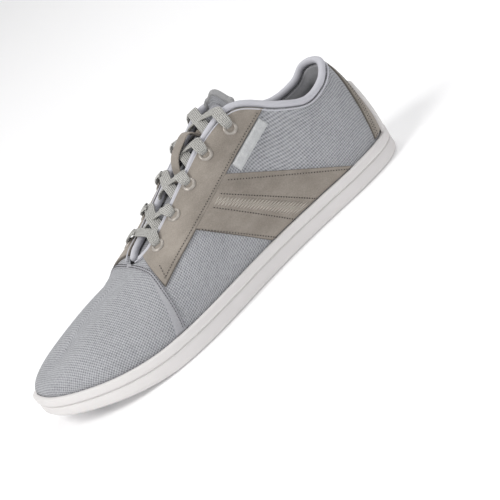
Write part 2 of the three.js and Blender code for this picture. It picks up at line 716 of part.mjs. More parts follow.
// Knitted roll round the collar and down both edges of the throat.
function bindingGeometry() {
  const steps = Math.round((THROAT_SECTION - 1 / STEPS_PER_SECTION) * STEPS_PER_SECTION);
  const centres = [];
  for (let i = -steps; i <= steps; i += 1) {
    centres.push(rollCentre(i < 0 ? -1 : 1, Math.abs(i) / STEPS_PER_SECTION));
  }
  const rings = centres.map((centre, i) => {
    const before = centres[Math.max(0, i - 1)];
    const after = centres[Math.min(centres.length - 1, i + 1)];
    const along = after.clone().sub(before).normalize();
    const across = along.clone().cross(new THREE.Vector3(0, 0, 1)).normalize();
    const up = across.clone().cross(along).normalize();
    return Array.from({ length: ROUND_SIDES }, (unused, k) => {
      const angle = (k + 0.5) * 2 * Math.PI / ROUND_SIDES;
      return centre.clone()
        .addScaledVector(across, Math.cos(angle) * BINDING_RADIUS)
        .addScaledVector(up, Math.sin(angle) * BINDING_RADIUS);
    });
  });
  return loftGeometry(rings);
}

// Tongue trim

const TRIM_GAP = CLEARANCE + 0.1;

// Point of the tongue's outer face on its middle line at x.
function tonguePoint(x) {
  const step = 1 / STEPS_PER_SECTION;
  let section = TONGUE_FIRST;
  let [near, far] = [tongueMiddle(section), tongueMiddle(section + step)];
  while (far.x < x && section < THROAT_SECTION) {
    section += step;
    near = far;
    far = tongueMiddle(section + step);
  }
  return near.clone().lerp(far, (x - near.x) / (far.x - near.x));
}

function tongueMiddle(section) {
  const row = tongueRow(section);
  return row[(row.length - 1) / 2];
}

// Strap that stands in an arch over the tongue, with its feet on it, for the lace to pass under.
function keeperGeometry() {
  const steps = 8;
  const stops = Array.from({ length: steps + 1 }, (unused, i) => {
    const share = i / steps;
    const x = THREE.MathUtils.lerp(KEEPER.back, KEEPER.front, share);
    const point = tonguePoint(x);
    point.z += KEEPER.wall / 2 + TRIM_GAP + KEEPER.arch * (1 - (2 * share - 1) ** 4);
    return { point, out: new THREE.Vector3(0, 0, 1), width: KEEPER.width };
  });
  return ribbonGeometry(stops, KEEPER.wall);
}

// Small blank patch near the top of the tongue.
function labelGeometry() {
  const stops = [LABEL.back, (LABEL.back + LABEL.front) / 2, LABEL.front].map((x) => {
    const point = tonguePoint(x);
    point.z += LABEL.wall / 2 + TRIM_GAP;
    return { point, out: new THREE.Vector3(0, 0, 1), width: LABEL.width };
  });
  return ribbonGeometry(stops, LABEL.wall);
}

// Eyelets and laces

const EYELET_SEAT = PATCH_TOP + CLEARANCE;

// Ring with a rolled flange on the eyestay and a barrel through the wall.
function eyeletGeometry(spot) {
  const barrel = EYELET_BORE + EYELET_WALL;
  const through = UPPER_WALL + EYELET_SEAT;
  const profile = [
    [EYELET_BORE, -through],
    [barrel, -through],
    [barrel, 0],
    [EYELET_FLANGE, 0],
    [(EYELET_FLANGE + barrel) / 2, EYELET_FLANGE_HEIGHT],
    [EYELET_BORE, EYELET_FLANGE_HEIGHT * 0.6],
    [EYELET_BORE, -through],
  ].map(([radius, height]) => new THREE.Vector2(radius, height));
  return withoutExtras(placedAt(new THREE.LatheGeometry(profile, ROUND_SIDES), spot, EYELET_SEAT));
}

const LACE_OVER_ROLL = BINDING_RADIUS + LACE_THICKNESS + 4 * CLEARANCE;

// Stops of a lace from its end over an eyelet, over the roll and to the middle of the throat.
function laceToMiddle(spot, section, middle) {
  const height = EYELET_SEAT + EYELET_FLANGE_HEIGHT + CLEARANCE + LACE_THICKNESS / 2;
  const start = spot.point.clone().addScaledVector(spot.normal, height);
  const edge = rollCentre(spot.side, section);
  edge.z += LACE_OVER_ROLL;
  const flat = edge.clone().sub(start).projectOnPlane(spot.normal).normalize();
  const end = start.addScaledVector(flat, LACE_END_GAP);
  const up = new THREE.Vector3(0, 0, 1);
  const between = end.clone().lerp(edge, 0.5).addScaledVector(spot.normal, LACE_THICKNESS);
  return [
    { point: end, out: spot.normal, width: LACE_END_WIDTH },
    { point: between, out: spot.normal.clone().lerp(up, 0.4).normalize(), width: LACE_WIDTH * 0.8 },
    { point: edge, out: spot.normal.clone().lerp(up, 0.7).normalize(), width: LACE_WIDTH },
    { point: middle, out: up, width: LACE_WIDTH },
  ];
}

// Point in the middle of the throat that a lace passes at a section, at a height over its edges.
function throatMiddle(section, height) {
  const middle = rollCentre(1, section).add(rollCentre(-1, section)).multiplyScalar(0.5);
  return middle.setZ(middle.z + height);
}

// Straight bar over both lowest eyelets.
function laceBarGeometry() {
  const [outer, inner] = EYELET_SPOTS.map((spots) => spots[0]);
  const middle = throatMiddle(outer.section, LACE_OVER_ROLL);
  const one = laceToMiddle(outer, outer.section, middle);
  const other = laceToMiddle(inner, inner.section, middle).slice(0, -1).reverse();
  return ribbonGeometry([...one, ...other], LACE_THICKNESS);
}

// A crossing: each lace comes out from under one edge and goes over the other to its eyelet.
function laceCrossGeometry(row) {
  const strands = [0, 1].map((sideIndex) => {
    const spot = EYELET_SPOTS[sideIndex][row + 1];
    const below = EYELET_SPOTS[1 - sideIndex][row];
    const section = (part) => THREE.MathUtils.lerp(spot.section, below.section, part);
    const crossing = throatMiddle(section(0.5), LACE_OVER_ROLL);
    const stops = laceToMiddle(spot, section(0.22), crossing);
    const root = rollCentre(below.side, section(0.54));
    root.y *= 0.45;
    root.z += TONGUE_CROWN + LACE_THICKNESS + CLEARANCE;
    stops.push({ point: root, out: new THREE.Vector3(0, 0, 1), width: LACE_WIDTH });
    return solidOf(ribbonGeometry(stops, LACE_THICKNESS));
  });
  return geometryFromSolid(strands[0].add(strands[1]));
}

// Tongue: a padded flap under the throat, from under the vamp to above the instep.
const TONGUE_FIRST = 5;
const TONGUE_LAST = THROAT_SECTION + 1;

// Points across the tongue's outer face at a section, from its outer wing to its inner one.
function tongueRow(section) {
  const depth = UPPER_WALL / 2 + BINDING_RADIUS + TONGUE_DEPTH;
  const wing = WALL_ROWS.slice(-3);
  const under = (side, share) => upperPoint(side, section, share)
    .addScaledVector(upperNormal(side, section, share), -depth);
  const outer = wing.map((share) => under(1, share));
  const inner = wing.map((share) => under(-1, share)).reverse();
  const open = Math.min(1, Math.max(0, THROAT_SECTION - section));
  const high = Math.max(0, (TONGUE_FIRST + 3 - section) / 3) ** 2;
  const crown = TONGUE_CROWN * open + (TONGUE_TOP_CROWN - TONGUE_CROWN) * high;
  const across = (share) => outer[outer.length - 1].clone().lerp(inner[0], share)
    .add(new THREE.Vector3(0, 0, crown * Math.sin(Math.PI * share) ** 2));
  return outer.concat([0.25, 0.5, 0.75].map(across), inner);
}

function tongueGeometry() {
  const rows = [];
  const steps = (TONGUE_LAST - TONGUE_FIRST) * STEPS_PER_SECTION;
  for (let i = 0; i <= steps; i += 1) {
    rows.push(tongueRow(TONGUE_FIRST + i / STEPS_PER_SECTION));
  }
  const centre = (rows[0].length - 1) / 2;
  const top = rows[0].map((point, k) => {
    const aside = (Math.abs(k - centre) / centre) ** 2;
    const back = point.clone().sub(rows[1][k]).normalize();
    const rise = back.add(new THREE.Vector3(0, 0, TONGUE_LIFT)).normalize();
    const raised = point.clone().addScaledVector(rise, TONGUE_RISE * (1 - TONGUE_TOP_ROUND * aside));
    return raised.setY(raised.y * TONGUE_TOP_TAPER);
  });
  rows.unshift(top);
  return sheetGeometry(rows, TONGUE_THICKNESS);
}

// Closed sheet under a grid of points, thick on the side away from its outward face.
function sheetGeometry(rows, thickness) {
  const points = rows.flat();
  const width = rows[0].length;
  const numbers = rows.map((row, r) => row.map((unused, k) => r * width + k));
  const faces = [];
  for (let r = 0; r + 1 < numbers.length; r += 1) {
    faces.push(...band(numbers[r], numbers[r + 1], false));
  }
  const normals = pointNormals(points, faces);
  const count = points.length;
  const under = points.map((point, i) => point.clone().addScaledVector(normals[i], -thickness));
  const lower = flipped(faces).map((triangle) => triangle.map((i) => i + count));
  const rim = numbers[0].concat(
    numbers.slice(1).map((row) => row[width - 1]),
    numbers[numbers.length - 1].slice(0, -1).reverse(),
    numbers.slice(1, -1).map((row) => row[0]).reverse(),
  );
  const sides = band(rim, rim.map((i) => i + count), true);
  return geometryOf(points.concat(under), faces.concat(lower, flipped(sides)));
}

// Materials and the assembly

function material(color, roughness, metalness = 0) {
  return new THREE.MeshStandardMaterial({ color, roughness, metalness });
}

const CANVAS = material(0xaeb0bb, 0.95);
const SOLE_RUBBER = material(0xcfccc9, 0.6);
const NUBUCK = material(0x9d9690, 0.9);
const LINING = material(0x8f9096, 0.95);
const INSOLE_CLOTH = material(0x84848a, 0.95);
const BINDING = material(0xb4b4ba, 0.9);
const SEAM_TAPE = material(0xa2a2a6, 0.9);
const TAB_TAPE = material(0xcbcdcd, 0.95);
const LACE = material(0xd2d1ce, 0.85);
const EYELET = material(0xa39c94, 0.4, 0.6);

const shoe = new THREE.Group();

function addPart(name, geometry, finish) {
  const mesh = new THREE.Mesh(geometry, finish);
  mesh.name = name;
  shoe.add(mesh);
}

addPart("outsole", outsoleGeometry(), SOLE_RUBBER);
addPart("upper", upperGeometry(), CANVAS);
addPart("insole", insoleGeometry(), INSOLE_CLOTH);
addPart("tongue", tongueGeometry(), CANVAS);
addPart("tongue_keeper", keeperGeometry(), NUBUCK);
addPart("tongue_label", labelGeometry(), LINING);
addPart("heel_counter", counterGeometry(), NUBUCK);
addPart("vamp_tape", vampTapeGeometry(), SEAM_TAPE);
addPart("side_tab", sideTabGeometry(), TAB_TAPE);
addPart("collar_binding", bindingGeometry(), BINDING);
for (const [side, word] of [[1, "outer"], [-1, "inner"]]) {
  addPart(`eyestay_${word}`, eyestayGeometry(side), NUBUCK);
  addPart(`stripe_${word}`, stripeGeometry(side), NUBUCK);
  EYELET_SPOTS[side > 0 ? 0 : 1].forEach((spot, i) => {
    addPart(`eyelet_${word}_${i + 1}`, eyeletGeometry(spot), EYELET);
  });
}
addPart("lace_bar", laceBarGeometry(), LACE);
for (let row = 0; row + 1 < EYELET_COUNT; row += 1) {
  addPart(`lace_cross_${row + 1}`, laceCrossGeometry(row), LACE);
}

// The origin is under the middle of the shoe, on the plane that it stands on.
const box = new THREE.Box3().setFromObject(shoe);
const middle = box.getCenter(new THREE.Vector3());
shoe.children.forEach((mesh) => mesh.geometry.translate(-middle.x, -middle.y, -box.min.z));

export default shoe;
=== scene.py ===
"""One left barefoot shoe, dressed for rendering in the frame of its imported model."""

import logging
import math
from dataclasses import dataclass, field, replace
from enum import Enum
from typing import Callable, Iterable, Sequence

import bmesh
import bpy
import numpy as np
from mathutils import Matrix, Vector


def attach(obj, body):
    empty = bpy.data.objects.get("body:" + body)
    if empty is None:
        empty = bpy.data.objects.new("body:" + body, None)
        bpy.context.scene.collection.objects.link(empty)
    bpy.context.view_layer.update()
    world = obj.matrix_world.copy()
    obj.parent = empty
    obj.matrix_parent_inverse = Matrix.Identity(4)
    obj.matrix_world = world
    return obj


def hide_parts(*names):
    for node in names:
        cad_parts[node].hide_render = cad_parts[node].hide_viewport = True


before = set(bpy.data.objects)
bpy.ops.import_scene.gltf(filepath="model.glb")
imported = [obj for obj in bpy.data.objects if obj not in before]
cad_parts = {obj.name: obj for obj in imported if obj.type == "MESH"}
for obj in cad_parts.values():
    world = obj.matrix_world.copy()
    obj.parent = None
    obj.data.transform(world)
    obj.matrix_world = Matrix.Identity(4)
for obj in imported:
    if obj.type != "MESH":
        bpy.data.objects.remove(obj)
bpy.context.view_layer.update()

LOG = logging.getLogger("shoe")
MM = 0.001
SHIFT = np.array([-142.389, 1.546, 0.0])
BODY = "root"


# Numbers and curves


def smooth(values: np.ndarray, at: np.ndarray, closed: bool = False) -> np.ndarray:
    """Reads a smooth curve through listed values.

    Args:
        values: The values, one for each whole place.
        at: Places along the list.
        closed: Whether the list runs round to its start.

    Returns:
        The curve's value at each place.
    """
    at = np.asarray(at, dtype=float)
    count = len(values)
    last = count if closed else count - 1
    index = np.clip(np.floor(at).astype(int), 0, last - 1)
    share = at - index

    def value(step: int) -> np.ndarray:
        """Value at a whole place away from the one before."""
        place = index + step
        return values[place % count if closed else np.clip(place, 0, count - 1)]

    before, start, end, after = value(-1), value(0), value(1), value(2)
    square, cube = share**2, share**3
    return (
        (2 * cube - 3 * square + 1) * start
        + (cube - 2 * square + share) * (end - before) / 2
        + (3 * square - 2 * cube) * end
        + (cube - square) * (after - start) / 2
    )


def unit(vectors: np.ndarray) -> np.ndarray:
    """Scales vectors to a length of one."""
    length = np.linalg.norm(vectors, axis=-1, keepdims=True)
    return vectors / np.maximum(length, 1e-9)


def step_between(low: float, high: float, values: np.ndarray) -> np.ndarray:
    """Smooth step from 0 at low to 1 at high."""
    share = np.clip((np.asarray(values) - low) / (high - low), 0, 1)
    return share * share * (3 - 2 * share)


def hump(values: np.ndarray, centre: float, half: float) -> np.ndarray:
    """Smooth bell of height one round a centre."""
    return np.exp(-(((np.asarray(values) - centre) / half) ** 2))


def spread(length: float, count: int, lip: Sequence[float] = (0.0, 0.12, 0.35, 0.7, 1.1)) -> np.ndarray:
    """Shares along a line, close together near both ends.

    Args:
        length: The line's length in millimetres.
        count: Number of shares between the two lips.
        lip: Distances from each end in millimetres.

    Returns:
        Rising shares from 0 to 1.
    """
    ends = np.array(lip) / max(length, 4 * lip[-1])
    middle = np.linspace(ends[-1], 1 - ends[-1], count + 2)[1:-1]
    return np.concatenate([ends, middle, 1 - ends[::-1]])


def round_lift(border: np.ndarray, radius: float) -> np.ndarray:
    """Share of its height that a rounded edge has at a distance from its border."""
    return np.sqrt(1 - (1 - np.clip(border / radius, 0, 1)) ** 2)


def run_length(points: np.ndarray, axis: int) -> np.ndarray:
    """Distance travelled along one direction of a grid of points."""
    steps = np.linalg.norm(np.diff(points, axis=axis), axis=-1)
    start = np.zeros_like(np.take(steps, [0], axis=axis))
    return np.concatenate([start, np.cumsum(steps, axis=axis)], axis=axis)


def through(stops: np.ndarray, count: int) -> np.ndarray:
    """Even places on a smooth curve through stops.

    Args:
        stops: One row of numbers for each stop, the first three of them its point.
        count: Number of places wanted.

    Returns:
        One row of numbers for each place.
    """
    fine = np.linspace(0, len(stops) - 1, 40 * len(stops))
    curve = np.stack([smooth(column, fine) for column in stops.T], axis=1)
    run = run_length(curve[:, :3], 0)
    wanted = np.linspace(0, run[-1], count)
    return np.stack([np.interp(wanted, run, column) for column in curve.T], axis=1)


# The last


@dataclass(frozen=True)
class SoleSizes:
    """Heights and walls of the cup sole in millimetres."""

    heel_rim: float = 15.5
    ball_rim: float = 16.5
    toe_rim: float = 14.0
    toe_spring: float = 12.0
    spring_start: float = 212.0
    spring_power: float = 1.7
    cup_floor: float = 5.0
    rim_wall: float = 3.0
    tread: float = 1.3


@dataclass(frozen=True)
class WallSizes:
    """Walls and gaps of the upper in millimetres."""

    cloth: float = 2.0
    collar: float = 3.0
    roll: float = 2.4
    gap: float = 0.3
    patch_top: float = 1.4


class Height(Enum):
    """Heights of the upper that its sections follow, in millimetres."""

    HEEL = 72.0
    INSTEP = 90.5
    TOE = 39.0


class Side(Enum):
    """The two sides of the shoe, by the sign of their y."""

    OUTER = 1
    INNER = -1

    @property
    def word(self) -> str:
        """The side's name in the names of pieces."""
        return self.name.lower()


class Last:
    """The shoe's shape: the outline of its sole, the wall over it and its top edge.

    A place runs from 0 at the heel up the outer side to 14 at the toe, and back along the
    inner side to 28. A share runs up the wall, from 0 at the rim to 1 at the top edge.
    """

    length = 285.0
    ball = 108.0
    toe = 14
    throat = 10
    sections = (
        (0.0, 0.0, 0.0, 0.032, 0.0, 0.0, Height.HEEL, 1.0, 0.023, 0.33, 0.75, 0.3),
        (0.025, 0.185, -0.185, 0.046, 0.13, 0.0, Height.HEEL, 0.978, 0.023, 0.33, 0.7, 0.3),
        (0.077, 0.292, -0.287, 0.084, 0.19, 0.0, Height.HEEL, 0.893, 0.014, 0.34, 0.6, 0.3),
        (0.168, 0.338, -0.329, 0.151, 0.241, 0.0, Height.HEEL, 0.882, 0.005, 0.34, 0.55, 0.3),
        (0.281, 0.343, -0.306, 0.218, 0.25, 0.0, Height.INSTEP, 0.818, 0.005, 0.33, 0.5, 0.28),
        (0.386, 0.357, -0.292, 0.295, 0.19, 0.0, Height.INSTEP, 1.0, 0.009, 0.32, 0.38, 0.22),
        (0.484, 0.394, -0.324, 0.379, 0.142, 0.0, Height.INSTEP, 0.956, 0.014, 0.3, 0.48, 0.15),
        (0.572, 0.44, -0.394, 0.477, 0.134, 0.0, Height.INSTEP, 0.827, 0.019, 0.3, 0.48, 0.1),
        (0.653, 0.477, -0.458, 0.572, 0.13, 0.0, Height.INSTEP, 0.692, 0.023, 0.32, 0.46, 0.06),
        (0.73, 0.486, -0.505, 0.635, 0.112, 0.0, Height.INSTEP, 0.623, 0.028, 0.36, 0.46, 0.04),
        (0.81, 0.454, -0.514, 0.667, 0.0, 0.0, Height.INSTEP, 0.592, 0.028, 0.4, 0.45, 0.02),
        (0.888, 0.366, -0.472, 0.744, 0.0, -0.014, Height.INSTEP, 0.553, 0.023, 0.45, 0.47, 0.02),
        (0.951, 0.222, -0.38, 0.814, 0.0, -0.028, Height.TOE, 1.165, 0.019, 0.52, 0.48, 0.05),
        (0.99, 0.065, -0.255, 0.863, 0.0, -0.046, Height.TOE, 1.05, 0.014, 0.6, 0.5, 0.2),
        (1.0, -0.093, -0.093, 0.884, 0.0, -0.06, Height.TOE, 1.0, 0.009, 0.62, 0.45, 0.3),
    )

    def __init__(self, sole: SoleSizes = SoleSizes(), walls: WallSizes = WallSizes()) -> None:
        """Reads the section table into curves."""
        self.sole, self.walls = sole, walls
        self.ring = 2 * self.toe
        column = [np.array(values) for values in zip(*[r[:6] + r[7:] for r in self.sections])]
        x, outer, inner, top_x, half, mid, height, *shape = column
        tops = height * np.array([row[6].value for row in self.sections])
        self.bulge, self.rise, self.reach, self.drop = shape

        def round_trip(out: np.ndarray, back: np.ndarray) -> np.ndarray:
            """A column out along one side and back along the other."""
            return np.concatenate([out, back[1:-1][::-1]])

        self.outline_x = round_trip(x, x) * self.length
        self.outline_y = round_trip(outer, inner) * self.ball
        edge = slice(0, self.throat + 1)
        self.edge = [
            round_trip(top_x[edge], top_x[edge]) * self.length,
            round_trip(half[edge], -half[edge]) * self.ball,
            round_trip(tops[edge], tops[edge]),
        ]
        ridge = slice(self.throat, None)
        self.ridge = [top_x[ridge] * self.length, mid[ridge] * self.ball, tops[ridge]]

    def places(self, per_section: int) -> np.ndarray:
        """Even places all round the shoe, with so many from one section to the next."""
        return np.arange(self.ring * per_section) / per_section

    def outline(self, place: np.ndarray, inset: np.ndarray | float) -> np.ndarray:
        """Points of the sole's outline, moved inwards.

        Args:
            place: Places round the sole.
            inset: How far the points move inwards.

        Returns:
            One x and y for each place.
        """

        def at(places: np.ndarray) -> np.ndarray:
            """Points of the outline itself."""
            wrapped = places % self.ring
            return np.stack(
                [smooth(self.outline_x, wrapped, True), smooth(self.outline_y, wrapped, True)], -1
            )

        place = np.asarray(place, dtype=float)
        along = unit(at(place + 0.02) - at(place - 0.02))
        outward = np.stack([-along[..., 1], along[..., 0]], -1)
        return at(place) - outward * np.asarray(inset)[..., None]

    def outward(self, place: np.ndarray) -> np.ndarray:
        """Flat outward direction of the outline."""
        return self.outline(place, -1.0) - self.outline(place, 0.0)

    def spring(self, x: np.ndarray) -> np.ndarray:
        """How far the sole rises from the ground towards the toe.

        Args:
            x: Distances from the heel.

        Returns:
            One height for each.
        """
        s = self.sole
        share = np.maximum(0, (np.asarray(x) - s.spring_start) / (self.length - s.spring_start))
        return s.toe_spring * share**s.spring_power

    def rim(self, x: np.ndarray) -> np.ndarray:
        """Height of the sole's rim over its tread.

        Args:
            x: Distances from the heel.

        Returns:
            One height for each.
        """
        s = self.sole
        forward = (np.asarray(x) - s.spring_start) / (self.length - s.spring_start)
        to_ball = s.heel_rim + (s.ball_rim - s.heel_rim) * np.minimum(1, np.asarray(x) / s.spring_start)
        return to_ball + (s.toe_rim - s.ball_rim) * np.maximum(0, forward)

    def section(self, place: np.ndarray) -> np.ndarray:
        """Section from the heel for places on either side."""
        place = np.asarray(place, dtype=float) % self.ring
        return np.minimum(place, self.ring - place)

    def top(self, place: np.ndarray) -> np.ndarray:
        """Top edge of the upper, or its ridge in front of the throat.

        Args:
            place: Places round the shoe.

        Returns:
            One point for each place.
        """
        place = np.asarray(place, dtype=float) % self.ring
        section = self.section(place)
        round_edge = np.where(place <= self.toe, section, 2 * self.throat - section)
        on_edge = np.stack([smooth(v, round_edge % (2 * self.throat), True) for v in self.edge], -1)
        on_ridge = np.stack([smooth(v, section - self.throat) for v in self.ridge], -1)
        return np.where((section < self.throat)[..., None], on_edge, on_ridge)

    def wall(self, place: np.ndarray, share: np.ndarray) -> np.ndarray:
        """Points of the upper's outer face.

        Args:
            place: Places round the shoe.
            share: Shares up the wall; below 0 the wall goes down into the cup.

        Returns:
            One point for each place and share.
        """
        place, share = np.broadcast_arrays(np.asarray(place, float), np.asarray(share, float))
        section = self.section(place)
        foot = self.outline(place, self.sole.rim_wall + self.walls.gap)
        outline_x = self.outline(place, 0.0)[..., 0]
        spring = self.spring(outline_x)
        start = np.concatenate([foot, (spring + self.rim(outline_x))[..., None]], -1)
        end = self.top(place)
        climb = end[..., 2] - start[..., 2]
        second = start.copy()
        second[..., :2] += self.outward(place) * (smooth(self.bulge, section) * self.ball)[..., None]
        second[..., 2] += smooth(self.rise, section) * climb
        third = end.copy()
        third[..., :2] += (start - end)[..., :2] * smooth(self.reach, section)[..., None]
        third[..., 2] -= smooth(self.drop, section) * climb
        t = np.clip(share, 0, 1)[..., None]
        curve = (
            (1 - t) ** 3 * start + 3 * (1 - t) ** 2 * t * second + 3 * (1 - t) * t**2 * third + t**3 * end
        )
        bottom = spring + self.sole.cup_floor + self.walls.gap
        curve[..., 2] += np.minimum(share, 0) * (start[..., 2] - bottom)
        return curve

    def normal(self, place: np.ndarray, share: np.ndarray) -> np.ndarray:
        """Outward direction of the upper.

        Args:
            place: Places round the shoe.
            share: Shares up the wall.

        Returns:
            One direction for each place and share.
        """
        place, share = np.broadcast_arrays(np.asarray(place, float), np.asarray(share, float))
        share = np.maximum(share, 0.0)
        along = self.wall(place + 0.02, share) - self.wall(place - 0.02, share)
        low, high = np.maximum(share - 0.01, 0), np.minimum(share + 0.01, 1)
        up = self.wall(place, high) - self.wall(place, low)
        return -unit(np.cross(along, up))

    def thickness(self, place: np.ndarray, share: np.ndarray) -> np.ndarray:
        """Thickness of the upper with its lining, more near the collar."""
        w = self.walls
        return w.cloth + (w.collar - w.cloth) * step_between(0.45, 0.85, share) * (
            1 - step_between(4.5, 6, self.section(place))
        )

    def roll(self, place: np.ndarray) -> np.ndarray:
        """Middle of the knitted roll on the top edge.

        Args:
            place: Places round the shoe.

        Returns:
            One point for each place.
        """
        edge = self.top(place)
        below = self.wall(place, 0.86)
        along = unit(self.top(np.asarray(place) + 0.2) - self.top(np.asarray(place) - 0.2))
        tangent = edge - below
        upward = unit(tangent - along * np.sum(tangent * along, -1, keepdims=True))
        inward = np.cross(along, upward) * (self.thickness(place, np.ones_like(place)) / 2)[..., None]
        return edge + inward + upward * (self.walls.roll + self.walls.gap)

    def cloth_map(self, place: np.ndarray, share: np.ndarray) -> np.ndarray:
        """Flat cloth coordinates in millimetres, as if unfolded from the top down the walls.

        Args:
            place: Places round the shoe.
            share: Shares up the wall.

        Returns:
            Two coordinates for each point.
        """
        steps = np.linspace(0, 1, 24)
        place, share = np.broadcast_arrays(np.asarray(place, float), np.asarray(share, float))
        shares = 1 - (1 - share[..., None]) * steps
        line = self.wall(np.repeat(place[..., None], 24, -1), shares)
        arc = np.linalg.norm(np.diff(line, axis=-2), axis=-1).sum(-1)
        flat = np.linalg.norm(line[..., 0, :2] - line[..., -1, :2], axis=-1)
        return line[..., -1, :2] + self.outward(place) * (arc - flat)[..., None]

    def find(self, side: int, target: np.ndarray, axes: tuple[int, int] = (0, 2)) -> tuple:
        """Finds the places on the wall that two of their coordinates name.

        Args:
            side: 1 for the outer side, -1 for the inner side, 0 for round the heel.
            target: Two coordinates for each point.
            axes: Which coordinates they are.

        Returns:
            The places and shares.
        """
        target = np.asarray(target, float)
        if side:
            places = np.linspace(0.05, 13.9, 240) * side
        else:
            places = np.linspace(-2.2, 2.2, 120)
        shares = np.linspace(0, 1, 60)
        grid_place, grid_share = [g.ravel() for g in np.meshgrid(places, shares)]
        table = self.wall(grid_place, grid_share)[:, list(axes)]
        flat = target.reshape(-1, 2)
        near = np.array([np.argmin(((table - p) ** 2).sum(1)) for p in flat])
        place, share = grid_place[near], grid_share[near]
        for _ in range(8):
            here = self.wall(place, share)[:, list(axes)]
            by_place = (self.wall(place + 0.01, share)[:, list(axes)] - here) / 0.01
            by_share = (self.wall(place, share - 0.01)[:, list(axes)] - here) / -0.01
            error = flat - here
            area = by_place[:, 0] * by_share[:, 1] - by_place[:, 1] * by_share[:, 0]
            area = np.where(np.abs(area) < 1e-6, 1e-6, area)
            move = (error[:, 0] * by_share[:, 1] - error[:, 1] * by_share[:, 0]) / area
            lift = (by_place[:, 0] * error[:, 1] - by_place[:, 1] * error[:, 0]) / area
            place = place + np.clip(move, -0.3, 0.3)
            share = np.clip(share + np.clip(lift, -0.1, 0.1), 0, 1)
        return place.reshape(target.shape[:-1]), share.reshape(target.shape[:-1])

    def place_on(self, side: int, share: np.ndarray, x_at: Callable, low: float, high: float) -> np.ndarray:
        """Places where a line across the side meets rows of the wall.

        Args:
            side: 1 for the outer side, -1 for the inner side.
            share: Shares of the rows.
            x_at: The line's x for a height.
            low: Section below the answer.
            high: Section above the answer.

        Returns:
            One place for each share.
        """
        under = np.full_like(share, low)
        over = np.full_like(share, high)
        for _ in range(24):
            middle = (under + over) / 2
            point = self.wall(middle * side, share)
            short = point[..., 0] < x_at(point[..., 2])
            under, over = np.where(short, middle, under), np.where(short, over, middle)
        return side * (under + over) / 2

    def edge_place(self, x: np.ndarray) -> np.ndarray:
        """Section of the throat's edge at an x."""
        sections = np.linspace(0.5, self.throat, 400)
        return np.interp(x, self.top(sections)[:, 0], sections)


# Meshes


